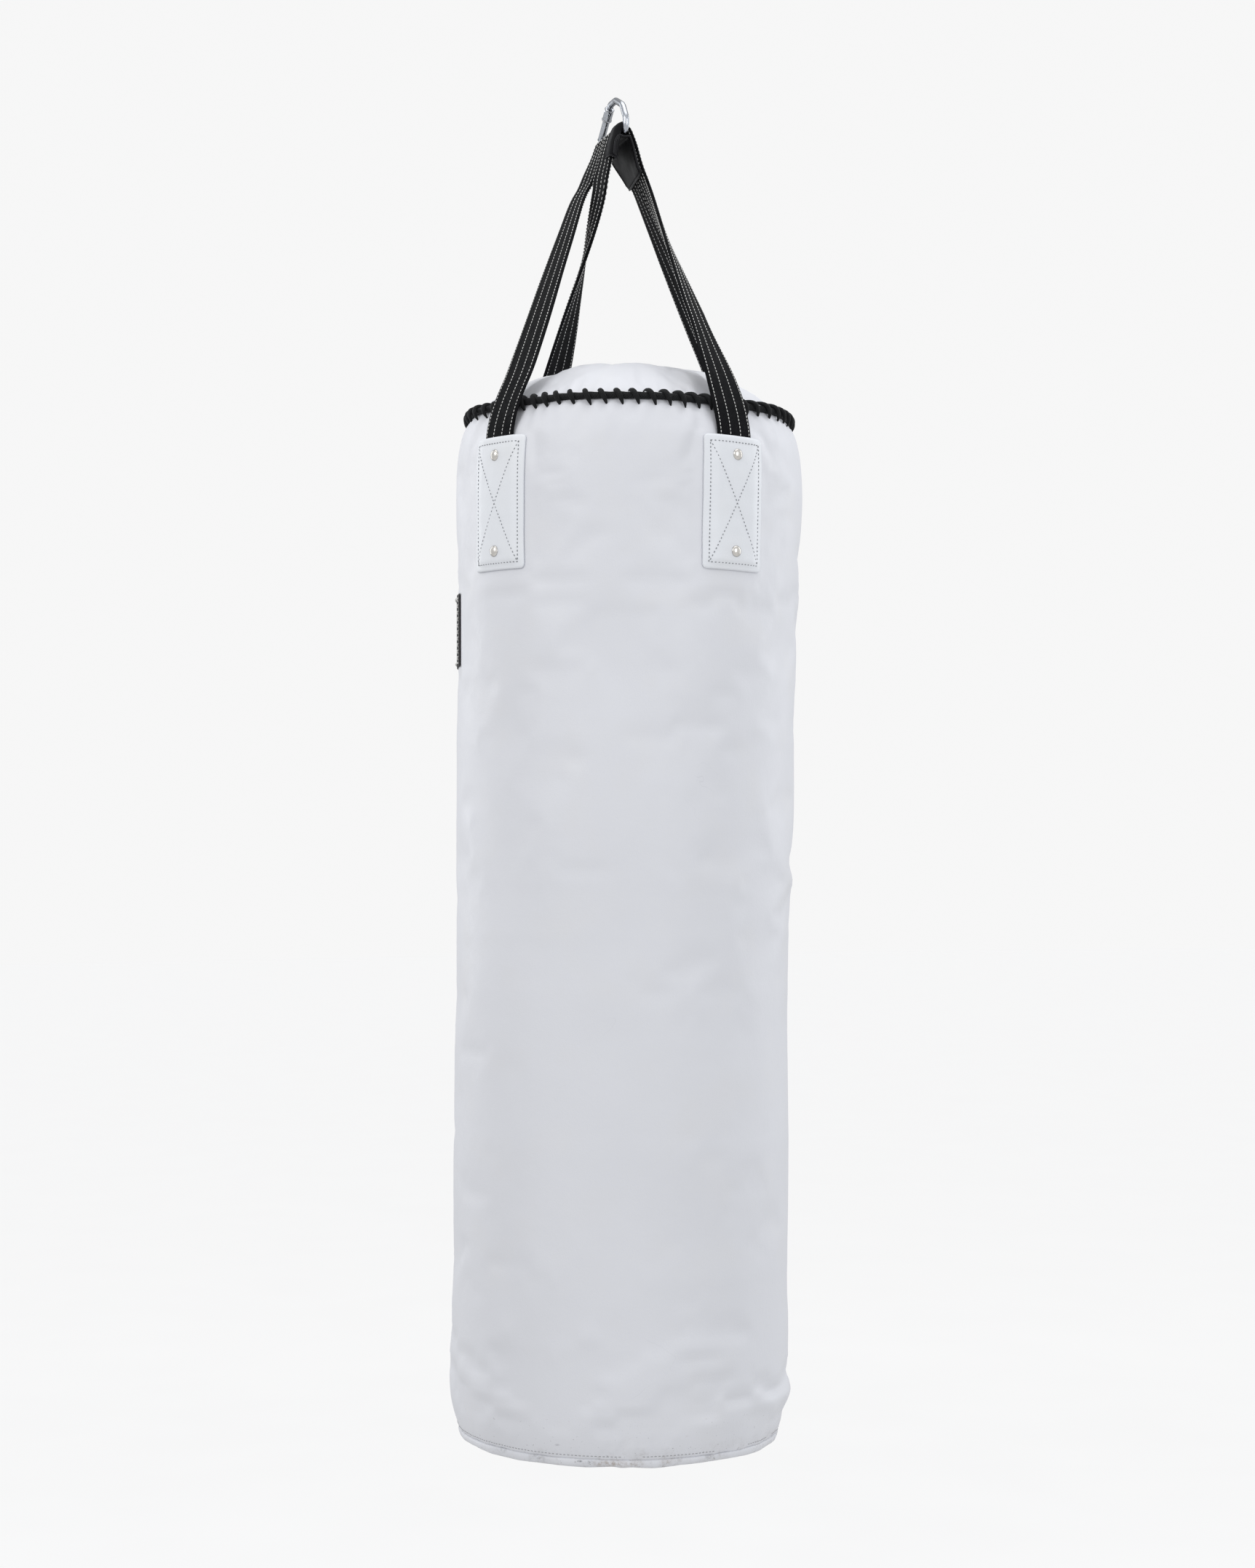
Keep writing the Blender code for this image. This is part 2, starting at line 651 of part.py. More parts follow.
# ------------------------------------------------------------------ hook
BEND_R = 0.0080
HINGE_UP = 0.0120         # gate hinge above the bar centre line
GATE_SLOPE = math.radians(40.0)
HINGE = Vector((BAR_HALF, 0, BAR_Z + HINGE_UP))
GATE_DIR = Vector((-math.cos(GATE_SLOPE), 0, math.sin(GATE_SLOPE)))
GATE_NORMAL = Vector((-GATE_DIR.z, 0, GATE_DIR.x))    # down and towards the front
HOOK_Y = Vector((0, 1, 0))


def gate_point(distance, across=0.0, y=0.0):
    """Point in the hook's frame, this distance along the gate from its hinge."""
    return HINGE + GATE_DIR * distance + GATE_NORMAL * across + HOOK_Y * y


def gate_world(distance, across=0.0, y=0.0):
    return HOOK_MATRIX @ gate_point(distance, across, y)


TOP_Z = BAR_Z + HOOK_RISE
MEET = gate_point((TOP_Z - HINGE.z) / GATE_DIR.z)     # gate line at apex height
HOOK_PATH = [             # (x, z, corner radius) of the wire's centre line
    (HINGE.x, HINGE.z + 0.0026, 0),
    (HINGE.x, HINGE.z + 0.0014, 0),
    (HINGE.x, HINGE.z - 0.0042, 0),
    (HINGE.x, HINGE.z - 0.0060, 0),
    (BAR_HALF, BAR_Z, BEND_R - 0.0022),
    (-BAR_HALF, BAR_Z, BEND_R),
    (-BAR_HALF - 0.0005, BAR_Z + 0.0140, 0.012),
    (-0.0330, BAR_Z + 0.0310, 0.016),
    (-0.0100, TOP_Z, 0.012),
    (MEET.x, TOP_Z, 0.0045),
    (*gate_point(0.0432).xz, 0),
    (*gate_point(0.0420).xz, 0),
    (*gate_point(0.0362).xz, 0),
]
BEND_STEPS = 4
WIRE_SIDES = 12
EYE_HALF_Y = 0.0013       # flattened eye for the gate's pin
EYE_HALF = (0.0020, 0.0030, 0.0030)      # its other half size at the first three points
NOSE_HALF_Y = 0.0012      # flattened nose that the gate's head closes over
NOSE_HALF = 0.0028


def fillet(path):
    """Rounds the corners of a flat path of (x, z, corner radius)."""
    points = [Vector(station[:2]) for station in path]
    rounded = [points[0]]
    for i in range(1, len(points) - 1):
        corner, radius = points[i], path[i][2]
        if radius <= 0:
            rounded.append(corner)
            continue
        back = (points[i - 1] - corner).normalized()
        ahead = (points[i + 1] - corner).normalized()
        half = back.angle(ahead) / 2
        reach = radius / math.tan(half)
        centre = corner + (back + ahead).normalized() * (radius / math.sin(half))
        start = corner + back * reach - centre
        sweep = start.angle_signed(corner + ahead * reach - centre)
        for k in range(BEND_STEPS + 1):
            turn = -sweep * k / BEND_STEPS
            cosine, sine = math.cos(turn), math.sin(turn)
            rounded.append(centre + Vector((start.x * cosine - start.y * sine,
                                            start.x * sine + start.y * cosine)))
    rounded.append(points[-1])
    return rounded


def build_hook_body(hook):
    line = fillet(HOOK_PATH)
    last = len(line) - 1
    grow = 1 / math.cos(math.pi / WIRE_SIDES)    # puts the flats, not the corners, on the radius
    rings = []
    for i, point in enumerate(line):
        forward = (line[min(i + 1, last)] - line[max(i - 1, 0)]).normalized()
        normal = Vector((-forward.y, 0, forward.x))
        half_y, half = WIRE_R, WIRE_R
        if i < len(EYE_HALF):
            half_y, half = EYE_HALF_Y, EYE_HALF[i]
        elif i >= last - 1:
            half_y, half = NOSE_HALF_Y, NOSE_HALF
        centre = Vector((point.x, 0, point.y))
        rings.append(ring_points(centre, normal * half, HOOK_Y * half_y, grow, WIRE_SIDES, 0.5))
    return swept("hook_body", rings, zinc, hook, smooth=45)


# ------------------------------------------------------------------ gate, distances from its hinge
GATE_LEN = 0.0415
GATE_R = 0.0040
HEAD_R = 0.0052
HEAD_AT = GATE_LEN - 0.0145
GATE_SIDES = 12
GATE_STATIONS = [         # (distance, radius)
    (-0.0036, 0.0026), (-0.0026, 0.0034), (-0.0008, GATE_R), (HEAD_AT - 0.0014, GATE_R),
    (HEAD_AT, HEAD_R - 0.0005), (HEAD_AT + 0.0006, HEAD_R),
    (GATE_LEN - 0.0010, HEAD_R), (GATE_LEN, HEAD_R - 0.0008),
]
GATE_BLOCKS = {           # cutter: (distance, across, half sizes along the gate, normal, hook y)
    "head_slot": (0.0400, 0.0, (0.0050, 0.0090, 0.0017)),
    "fork_slot": (0.0, 0.0, (0.0058, 0.0090, 0.0018)),
    "latch_notch": (0.03825, -0.0034, (0.00165, 0.0050, 0.0090)),
}
BORE_START, BORE_END, BORE_R = 0.0045, 0.0240, 0.0021
BORE_SIDES = 12
PIN_R, PIN_HALF, PIN_HOLE_R, PIN_SIDES = 0.0012, 0.0043, 0.00136, 16
LATCH_AT = 0.0385
LATCH_R, LATCH_HALF, LATCH_HOLE_R, LATCH_SIDES = 0.0009, 0.0044, 0.00110, 12
GATE_HOLE_HALF, BODY_HOLE_HALF = 0.010, 0.0101        # half lengths of the hole cutters

PLUNGER_STATIONS = [(0.00365, 0.0008), (0.0044, 0.0015), (0.0084, 0.0015)]  # (distance, radius)
PLUNGER_SIDES = 10
SPRING_START, SPRING_LEN = 0.0090, 0.0135
SPRING_R, SPRING_WIRE = 0.00135, 0.00030
SPRING_PER_TURN = 7
SPRING_STEPS = 7 * SPRING_PER_TURN
SPRING_SIDES = 4


def gate_rings(stations, sides):
    return [ring_points(gate_point(distance), GATE_NORMAL, HOOK_Y, radius, sides, 0.5)
            for distance, radius in stations]


def cut_gate_block(gate, name):
    distance, across, half_sizes = GATE_BLOCKS[name]
    axes = [HOOK_MATRIX.to_3x3() @ axis for axis in (GATE_DIR, GATE_NORMAL, HOOK_Y)]
    cut(gate, block(name, gate_world(distance, across), axes, half_sizes))


def cross_rod(name, distance, half, radius, sides, mat=None):
    """Rod across the hook's plane, through the gate's centre line."""
    return rod(name, gate_world(distance, y=-half), gate_world(distance, y=half),
               radius, sides, mat)


def build_gate(hook, hook_body):
    gate = swept("hook_gate", gate_rings(GATE_STATIONS, GATE_SIDES), zinc, hook, smooth=45)
    cut_gate_block(gate, "head_slot")
    cut_gate_block(gate, "fork_slot")
    cut(gate, rod("spring_bore", gate_world(BORE_START), gate_world(BORE_END), BORE_R, BORE_SIDES))
    cut(gate, cross_rod("pin_hole", 0, GATE_HOLE_HALF, PIN_HOLE_R, PIN_SIDES))
    cut(hook_body, cross_rod("tongue_hole", 0, BODY_HOLE_HALF, PIN_HOLE_R, PIN_SIDES))
    cut(hook_body, cross_rod("latch_hole", LATCH_AT, BODY_HOLE_HALF, LATCH_HOLE_R, LATCH_SIDES))
    cut_gate_block(gate, "latch_notch")
    return gate


def build_pins():
    cross_rod("gate_pin", 0, PIN_HALF, PIN_R, PIN_SIDES, zinc)
    cross_rod("latch_pin", LATCH_AT, LATCH_HALF, LATCH_R, LATCH_SIDES, zinc)


def build_plunger(hook):
    rings = gate_rings(PLUNGER_STATIONS, PLUNGER_SIDES)
    return swept("gate_plunger", rings, spring_steel, hook)


def spring_axis(k):
    return gate_point(SPRING_START + SPRING_LEN * k / SPRING_STEPS)


def spring_point(k):
    wind = 2 * math.pi * k / SPRING_PER_TURN
    return spring_axis(k) + SPRING_R * (GATE_NORMAL * math.cos(wind) + HOOK_Y * math.sin(wind))


def build_spring(hook):
    rings = [coil_ring(k, spring_point, spring_axis, SPRING_WIRE, SPRING_SIDES)
             for k in range(SPRING_STEPS + 1)]
    return swept("gate_spring", rings, spring_steel, hook)


# ------------------------------------------------------------------ assembly
def build():
    bag = empty("bag_axis", BAG_MATRIX)
    hook = empty("hook_plane", HOOK_MATRIX)

    shell = build_wall(bag)
    build_top_cap(bag)
    build_bottom(bag)
    build_filling(bag)
    build_lacing(bag)

    front_strap = build_strap("bl", "fr", -FOLD_SHIFT)    # nearer the front end of the bar
    back_strap = build_strap("fl", "br", FOLD_SHIFT)
    saddle = build_saddle()
    for leg in LEG_AZ:
        strap = front_strap if leg in ("bl", "fr") else back_strap
        patch = build_patch(leg, bag)
        for number, z in enumerate(RIVET_Z, 1):
            build_rivet(leg, number, z, bag, (patch, strap, shell))
    build_label(bag)

    hook_body = build_hook_body(hook)
    gate = build_gate(hook, hook_body)
    build_pins()
    plunger = build_plunger(hook)
    spring = build_spring(hook)

    gate_axis = empty("gate_axis", Matrix.Translation(gate_world(0)) @ HOOK_MATRIX)
    bar_axis = empty("bar_axis", Matrix.Translation(BAR) @ HOOK_MATRIX)
    hang_from(gate_axis, gate, plunger, spring)
    hang_from(bar_axis, front_strap, back_strap, saddle)
    bpy.context.view_layer.update()


build()
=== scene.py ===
"""Looks for a hanging punch bag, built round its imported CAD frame.

Metres, +Z up. z = 0 is the underside of the hook's top wire and everything hangs below it.
The front is -Y and the right is +X. The bag is described round its own axis, which leans a little:
an `angle` is in degrees round that axis, 0 at the front and 90 at the right, and a `z` is a height
before the lean. From the top down: wire hook, leather saddle, two crossing webbing straps, laced
rim, white skin and bottom seam.
"""

import math

import bmesh
import bpy
import numpy as np
from mathutils import Matrix, Vector, noise


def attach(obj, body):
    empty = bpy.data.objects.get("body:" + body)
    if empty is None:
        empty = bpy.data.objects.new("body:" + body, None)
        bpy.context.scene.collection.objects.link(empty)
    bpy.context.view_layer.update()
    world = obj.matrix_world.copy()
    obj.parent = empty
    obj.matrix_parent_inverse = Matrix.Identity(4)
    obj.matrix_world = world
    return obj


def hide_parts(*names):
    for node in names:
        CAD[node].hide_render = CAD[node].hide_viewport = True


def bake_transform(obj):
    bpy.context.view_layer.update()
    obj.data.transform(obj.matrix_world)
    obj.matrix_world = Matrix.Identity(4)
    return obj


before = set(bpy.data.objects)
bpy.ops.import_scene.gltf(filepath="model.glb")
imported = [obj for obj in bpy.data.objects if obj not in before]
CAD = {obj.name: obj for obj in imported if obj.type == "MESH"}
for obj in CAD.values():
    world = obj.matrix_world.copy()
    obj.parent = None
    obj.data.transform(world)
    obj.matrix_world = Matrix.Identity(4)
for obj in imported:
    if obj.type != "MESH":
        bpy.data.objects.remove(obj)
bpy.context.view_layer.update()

# ------------------------------------------------------------------ sizes shared with the CAD
# bag
RIM_Z = -0.357
SEAM_Z = -1.484
SKIN_TOP = -0.3583
SKIN_BOTTOM = -1.4848
SHELL_T = 0.0020
DOME_H = 0.055
DOME_POWER = 3.2
DOME_R = 0.1745  # where the dome meets its rim height
CAP_R = 0.1705
LEAN_DEG = 1.4
COM_Z = -0.915  # the bag leans about this height
ROUND_R = 0.19  # nominal radius that turns angles into lengths round the wall
# wall outline: z, radius
WALL = [
    (-0.3583, 0.1752), (-0.3650, 0.1810), (-0.3780, 0.1866), (-0.4000, 0.1904),
    (-0.4350, 0.1917), (-0.5000, 0.1906), (-0.6500, 0.1886), (-0.8500, 0.1873),
    (-1.1000, 0.1868), (-1.3000, 0.1872), (-1.4200, 0.1882), (-1.4500, 0.1870),
    (-1.4700, 0.1834), (-1.4830, 0.1786), (-1.4850, 0.1775),
]
# lacing
LACE_R = 0.1775
LACE_Z = RIM_Z + 0.0005
HOLES = 66
# straps: each has a left and a right leg; angles where the legs meet the bag
LEG_ANGLE = {"fl": -40.5, "fr": 42.6, "bl": -137.5, "br": 140.5}
STRAP_T = 0.0034
STRAP_W = 0.0440
STRAP_W_TOP = 0.0380
PRESS = 0.0078  # how far a strap pushes the rim in
TAIL_Z = -0.524
# patches, rivets, label
PATCH_W = 0.0780
PATCH_T = 0.0020
PATCH_TOP = -0.3950
PATCH_BOTTOM = -0.5380
RIVET_Z = (-0.4150, -0.5180)
LABEL_ANGLE = -90.0
LABEL_W = 0.1340
LABEL_TOP = -0.5550
LABEL_BOTTOM = -0.6360
# hook
HOOK_YAW_DEG = 25.0
WIRE_R = 0.0036
HOOK_RISE = 0.0420
BAR_HALF = 0.0440
BAR_Z = WIRE_R - HOOK_RISE
BEND_R = 0.0080
HINGE_UP = 0.0120
GATE_SLOPE = 40.0
# fold over the bar and saddle; slopes are degrees from the vertical, l and r the two sides
FOLD_R = 0.0090
FOLD_DROP = 0.0024
LEG_SLOPE = {"l": 19.0, "r": 23.0}
SIDE_SIGN = {"l": -1.0, "r": 1.0}
SADDLE_LEN = 0.0500
SADDLE_REACH = {"l": 0.62, "r": 1.0}
SADDLE_HALF = 0.0395
HEM_TURN = {"l": 8.0, "r": -9.0}

BAG = (Matrix.Translation((0, 0, COM_Z)) @ Matrix.Rotation(math.radians(LEAN_DEG), 4, "Y")
       @ Matrix.Translation((0, 0, -COM_Z)))
BAG_TURN = BAG.to_3x3()
BAG_ARRAY = np.array(BAG)
yaw = math.radians(HOOK_YAW_DEG)
ALONG = Vector((-math.sin(yaw), math.cos(yaw), 0.0))  # along the hook's bar
RIGHT = Vector((math.cos(yaw), math.sin(yaw), 0.0))  # across it
UP = Vector((0, 0, 1))
BAR = Vector((0, 0, BAR_Z))


# ------------------------------------------------------------------ numbers and places
def smoothstep(start, end, x):
    part = np.clip((np.asarray(x, float) - start) / (end - start), 0.0, 1.0)
    return part * part * (3 - 2 * part)


def ease(start, end, x):
    """smoothstep of one plain number."""
    return float(smoothstep(start, end, x))


def jitter(x, y=0.0, z=0.0):
    return noise.noise(Vector((x, y, z)))


def perlin(x, y, z):
    x, y, z = np.broadcast_arrays(x, y, z)
    values = [noise.noise(Vector(point)) for point in zip(x.ravel(), y.ravel(), z.ravel())]
    return np.array(values).reshape(x.shape)


def ripple(x, y, z, around, up, shift=0.0):
    """Noise over the bag: x, y is the heading, around and up are its frequencies."""
    return perlin(x * around + shift, y * around, z * up)


def full_turn(count):
    return np.arange(count) * 360.0 / count


def turn_from(angle, centre):
    """Signed degrees from centre to angle, the short way."""
    return (angle - centre + 180) % 360 - 180


def arc_from(angle, centre):
    """The same as a length round the wall."""
    return turn_from(angle, centre) * math.pi / 180 * ROUND_R


def heading(angle):
    turn = np.radians(angle)
    return np.sin(turn), -np.cos(turn)


def axis_points(angle, radius, z):
    """Points round the bag's axis, before the lean."""
    x, y = heading(angle)
    return np.stack(np.broadcast_arrays(radius * x, radius * y, z), -1)


def around(angle, radius, z):
    """The same points on the leaning bag."""
    return axis_points(angle, radius, z) @ BAG_ARRAY[:3, :3].T + BAG_ARRAY[:3, 3]


def out_dir(angle):
    """Outward direction from the leaning axis."""
    x, y = heading(angle)
    return np.stack(np.broadcast_arrays(x, y, 0.0), -1) @ BAG_ARRAY[:3, :3].T


def axis_vector(angle, radius, z):
    turn = math.radians(angle)
    return Vector((radius * math.sin(turn), -radius * math.cos(turn), z))


def on_bag(angle, radius, z):
    return BAG @ axis_vector(angle, radius, z)


# ------------------------------------------------------------------ material builder
def scaled(colour, factor):
    return tuple(channel * factor for channel in colour)


class Material:
    """A node material; values may be numbers or sockets."""

    def __init__(self, name, base, rough, metallic=0.0):
        self.data = bpy.data.materials.new(name)
        self.data.use_nodes = True
        self.data.diffuse_color = (*base, 1)
        self.tree = self.data.node_tree
        self.shader = self.tree.nodes["Principled BSDF"]
        self.set(Base_Color=(*base, 1), Roughness=rough, Metallic=metallic)
        self.source = self.node("ShaderNodeTexCoord")
        self.normal = None

    def feed(self, socket, value):
        if isinstance(value, bpy.types.NodeSocket):
            self.tree.links.new(value, socket)
        else:
            socket.default_value = value

    def set(self, **values):
        """Feeds the shader's inputs; underscores stand for spaces."""
        for key, value in values.items():
            self.feed(self.shader.inputs[key.replace("_", " ")], value)

    def node(self, kind, **props):
        node = self.tree.nodes.new(kind)
        for key, value in props.items():
            setattr(node, key, value)
        return node

    def coords(self, uv=False, scale=(1, 1, 1)):
        node = self.node("ShaderNodeMapping")
        node.inputs["Scale"].default_value = scale
        self.feed(node.inputs["Vector"], self.source.outputs["UV" if uv else "Object"])
        return node.outputs["Vector"]

    def axis(self, which, uv=False):
        node = self.node("ShaderNodeSeparateXYZ")
        self.feed(node.inputs[0], self.source.outputs["UV" if uv else "Object"])
        return node.outputs[which]

    def noise(self, scale, detail=3.0, rough=0.5, vector=None, distortion=0.0):
        node = self.node("ShaderNodeTexNoise")
        node.inputs["Scale"].default_value = scale
        node.inputs["Detail"].default_value = detail
        node.inputs["Roughness"].default_value = rough
        node.inputs["Distortion"].default_value = distortion
        self.feed(node.inputs["Vector"], vector or self.coords())
        return node.outputs["Fac"]

    def cells(self, scale):
        node = self.node("ShaderNodeTexVoronoi", feature="F1")
        node.inputs["Scale"].default_value = scale
        self.feed(node.inputs["Vector"], self.coords())
        return node.outputs["Distance"]

    def math(self, operation, *values, clamp=False):
        node = self.node("ShaderNodeMath", operation=operation, use_clamp=clamp)
        for socket, value in zip(node.inputs, values):
            self.feed(socket, value)
        return node.outputs[0]

    def times(self, first, second, clamp=False):
        return self.math("MULTIPLY", first, second, clamp=clamp)

    def plus(self, first, second):
        return self.math("ADD", first, second)

    def wave(self, value, pitch):
        return self.math("SINE", self.times(value, math.tau / pitch))

    def ramp(self, value, span, to=(0.0, 1.0)):
        node = self.node("ShaderNodeMapRange")
        node.inputs["From Min"].default_value = span[0]
        node.inputs["From Max"].default_value = span[1]
        node.inputs["To Min"].default_value = to[0]
        node.inputs["To Max"].default_value = to[1]
        self.feed(node.inputs["Value"], value)
        return node.outputs["Result"]

    def cloud(self, span, to=(0.0, 1.0), **noise_args):
        """Noise stretched from span to the range `to`."""
        return self.ramp(self.noise(**noise_args), span, to)

    def mix(self, factor, first, second):
        node = self.node("ShaderNodeMix", data_type="RGBA")
        self.feed(node.inputs["Factor"], factor)
        for index, colour in ((6, first), (7, second)):  # the colour sockets A and B
            self.feed(node.inputs[index], (*colour, 1) if isinstance(colour, tuple) else colour)
        return node.outputs[2]

    def bump(self, height, strength, distance):
        """Adds a bump on top of those made before."""
        node = self.node("ShaderNodeBump")
        node.inputs["Strength"].default_value = strength
        node.inputs["Distance"].default_value = distance
        self.feed(node.inputs["Height"], height)
        if self.normal is not None:
            self.feed(node.inputs["Normal"], self.normal)
        self.normal = node.outputs["Normal"]
        self.set(Normal=self.normal)


# ------------------------------------------------------------------ materials
BROWN = (0.30, 0.24, 0.19)
SOOT = (0.08, 0.08, 0.08)
# dirty spots on the skin: angle, z, radius of the place, reach, strength, tone
GRIME = [
    (1.0, -1.4880, 0.1792, 0.012, 0.60, BROWN), (5.5, -1.4885, 0.1792, 0.016, 0.70, BROWN),
    (-3.0, -1.4870, 0.1792, 0.006, 0.55, SOOT), (-6.5, -1.4865, 0.1792, 0.0035, 0.95, SOOT),
    (12.0, -1.4885, 0.1792, 0.014, 0.50, BROWN), (-22.0, -1.4875, 0.1792, 0.016, 0.38, SOOT),
    (24.0, -1.4865, 0.1792, 0.010, 0.45, BROWN), (-38.0, -1.4860, 0.1792, 0.010, 0.35, SOOT),
    (40.0, -1.4855, 0.1792, 0.008, 0.55, SOOT), (-14.0, -1.4700, 0.184, 0.004, 0.45, SOOT),
    (30.0, -1.4600, 0.186, 0.0035, 0.5, BROWN), (160.0, -1.4870, 0.1792, 0.020, 0.45, BROWN),
    (-110.0, -1.4870, 0.1792, 0.016, 0.40, SOOT), (95.0, -1.4870, 0.1792, 0.014, 0.40, BROWN),
]
GRIME_FLATTEN = 2.4  # spots are this much wider than tall


def add_dirt(mat, colour, z):
    """Patchy dirt and specks at the bottom edge, then the single spots."""
    height = mat.ramp(z, span=(-1.4700, -1.4905))
    patchy = mat.cloud(span=(0.42, 0.66), scale=26.0, detail=5.0, rough=0.62)
    fine = mat.cloud(span=(0.50, 0.68), scale=150.0, detail=4.0, rough=0.7)
    amount = mat.times(mat.times(height, patchy), mat.plus(mat.times(fine, 0.7), 0.18), clamp=True)
    colour = mat.mix(mat.times(amount, 0.85, clamp=True), colour, (0.235, 0.205, 0.175))
    specks = mat.cloud(span=(0.685, 0.735), scale=320.0, detail=2.0, rough=0.6)
    speck_zone = mat.times(specks, mat.ramp(z, span=(-1.4300, -1.4850), to=(0.0, 0.55)))
    colour = mat.mix(speck_zone, colour, (0.16, 0.15, 0.14))
    for angle, spot_z, radius, reach, strength, tone in GRIME:
        spot = on_bag(angle, radius, spot_z)
        distance = mat.node("ShaderNodeVectorMath", operation="DISTANCE")
        stretched = mat.node("ShaderNodeVectorMath", operation="MULTIPLY")
        mat.feed(stretched.inputs[0], mat.source.outputs["Object"])
        stretched.inputs[1].default_value = (1, 1, GRIME_FLATTEN)
        mat.feed(distance.inputs[0], stretched.outputs[0])
        distance.inputs[1].default_value = (spot.x, spot.y, spot.z * GRIME_FLATTEN)
        near = mat.ramp(distance.outputs["Value"], span=(reach, reach * 0.25))
        broken = mat.cloud(span=(0.44, 0.62), to=(0.15, 1.0), scale=240.0, detail=4.0, rough=0.7)
        amount = mat.times(mat.times(near, broken, clamp=True), strength, clamp=True)
        colour = mat.mix(amount, colour, tone)
    return colour


def white_leather(name, base, grain=1.0, dirty=False):
    """Coated cool-white leather: pebble grain, faint blotches, painted shade darker towards the
    bottom, polish variation, thin scuffs.
    """
    mat = Material(name, base, rough=0.5)
    warm = (base[0] * 0.985, base[1] * 0.975, base[2] * 0.95)
    blotch = mat.cloud(span=(0.35, 0.70), scale=5.0, detail=4.0, rough=0.55)
    colour = mat.mix(blotch, base, scaled(base, 0.955))
    colour = mat.mix(mat.cloud(span=(0.52, 0.78), to=(0.0, 0.5), scale=17.0), colour, warm)
    z = mat.axis("Z")
    # painted shade: the leather grows darker towards the bottom of the bag
    low = mat.ramp(z, span=(-0.45, -1.45), to=(0.0, 0.34))
    colour = mat.mix(low, colour, scaled(base, 0.90))
    if dirty:
        colour = add_dirt(mat, colour, z)
    # thin scuffs follow the middle level of a warped noise
    level = mat.noise(scale=7.0, detail=2.0, distortion=1.3)
    level = mat.math("ABSOLUTE", mat.math("SUBTRACT", level, 0.5))
    scuffs = mat.ramp(level, span=(0.0020, 0.0))
    scuffs = mat.times(scuffs, mat.cloud(span=(0.60, 0.70), scale=11.0, detail=1.0))
    colour = mat.mix(mat.times(scuffs, 0.16, clamp=True), colour, (0.42, 0.42, 0.44))
    polish = mat.cloud(span=(0.3, 0.7), to=(0.44, 0.60), scale=38.0, detail=4.0, rough=0.6)
    mat.set(Base_Color=colour, Roughness=polish)
    pebbles = mat.cells(scale=640.0)
    pores = mat.noise(scale=1500.0, detail=2.0)
    pebbles = mat.plus(mat.times(pebbles, 0.7), mat.times(pores, 0.3))
    mat.bump(pebbles, strength=0.10 * grain, distance=0.0006)
    mat.bump(mat.noise(scale=42.0), strength=0.10, distance=0.004)
    mat.set(Coat_Weight=0.10, Coat_Roughness=0.42, Specular_IOR_Level=0.42)
    return mat.data


def webbing_material():
    """Black woven webbing: crosswise picks over lengthwise warp bundles, u across, v along."""
    warp_pitch, pick_pitch = 0.0014, 0.0019
    mat = Material("webbing_weave", (0.010, 0.0105, 0.012), rough=0.9)
    across, along = mat.axis("X", uv=True), mat.axis("Y", uv=True)
    warp = mat.wave(across, warp_pitch)
    # each warp bundle shifts the picks by half a wave
    bundle = mat.math("FLOOR", mat.math("DIVIDE", across, warp_pitch))
    shift = mat.times(bundle, math.pi)
    pick = mat.math("SINE", mat.plus(mat.times(along, math.tau / pick_pitch), shift))
    weave = mat.plus(mat.times(warp, 0.35), mat.times(pick, 0.65))
    mat.bump(weave, strength=0.75, distance=0.00035)
    uv = mat.coords(uv=True)
    mat.bump(mat.noise(scale=900.0, detail=2.0, vector=uv), strength=0.25, distance=0.0003)
    # painted shade and highlight: the weave is darker in its hollows and lighter on its raised
    # threads
    light = mat.ramp(weave, span=(-0.8, 1.0))
    colour = mat.mix(light, (0.0016, 0.0018, 0.0023), (0.0085, 0.0090, 0.0105))
    wear = mat.cloud(span=(0.50, 0.80), to=(0.0, 0.35), scale=60.0, detail=4.0, rough=0.6, vector=uv)
    colour = mat.mix(wear, colour, (0.020, 0.020, 0.022))
    polish = mat.cloud(span=(0.3, 0.7), to=(0.70, 0.92), scale=250.0, detail=2.0, vector=uv)
    mat.set(Base_Color=colour, Roughness=polish,
            Sheen_Weight=0.02, Sheen_Roughness=0.5, Specular_IOR_Level=0.07)
    return mat.data


def cord_material(name, base, pitch):
    """Round braided cord: strands slant both ways over u (round) and v (along), in metres."""
    mat = Material(name, base, rough=0.6)
    across, along = mat.axis("X", uv=True), mat.axis("Y", uv=True)
    one_way = mat.wave(mat.plus(across, along), pitch)
    other_way = mat.wave(mat.math("SUBTRACT", across, along), pitch)
    braid = mat.math("MAXIMUM", one_way, other_way)
    # painted shade and highlight: the cord is darker between its strands and lighter on them
    colour = mat.mix(mat.ramp(braid, span=(-0.2, 1.0)), scaled(base, 0.4), scaled(base, 1.5))
    mat.bump(braid, strength=0.55, distance=0.0004)
    fuzz = mat.noise(scale=1800.0, detail=2.0, vector=mat.coords(uv=True))
    mat.bump(fuzz, strength=0.25, distance=0.0002)
    polish = mat.cloud(span=(0.3, 0.7), to=(0.55, 0.80), scale=300.0, detail=2.0,
                       vector=mat.coords(uv=True))
    mat.set(Base_Color=colour, Roughness=polish, Sheen_Weight=0.02, Specular_IOR_Level=0.22)
    return mat.data


def thread_material(name, base):
    """Twisted sewing thread."""
    mat = Material(name, base, rough=0.6)
    diagonal = mat.plus(mat.axis("X"), mat.plus(mat.axis("Y"), mat.axis("Z")))
    twist = mat.wave(diagonal, pitch=0.0006)
    # painted shade: the thread is darker in the grooves of its twist
    mat.set(Base_Color=mat.mix(mat.ramp(twist, span=(-1.0, 1.0)), scaled(base, 0.72), base))
    mat.bump(twist, strength=0.3, distance=0.0001)
    mat.set(Roughness=mat.cloud(span=(0.3, 0.7), to=(0.50, 0.75), scale=400.0))
    return mat.data


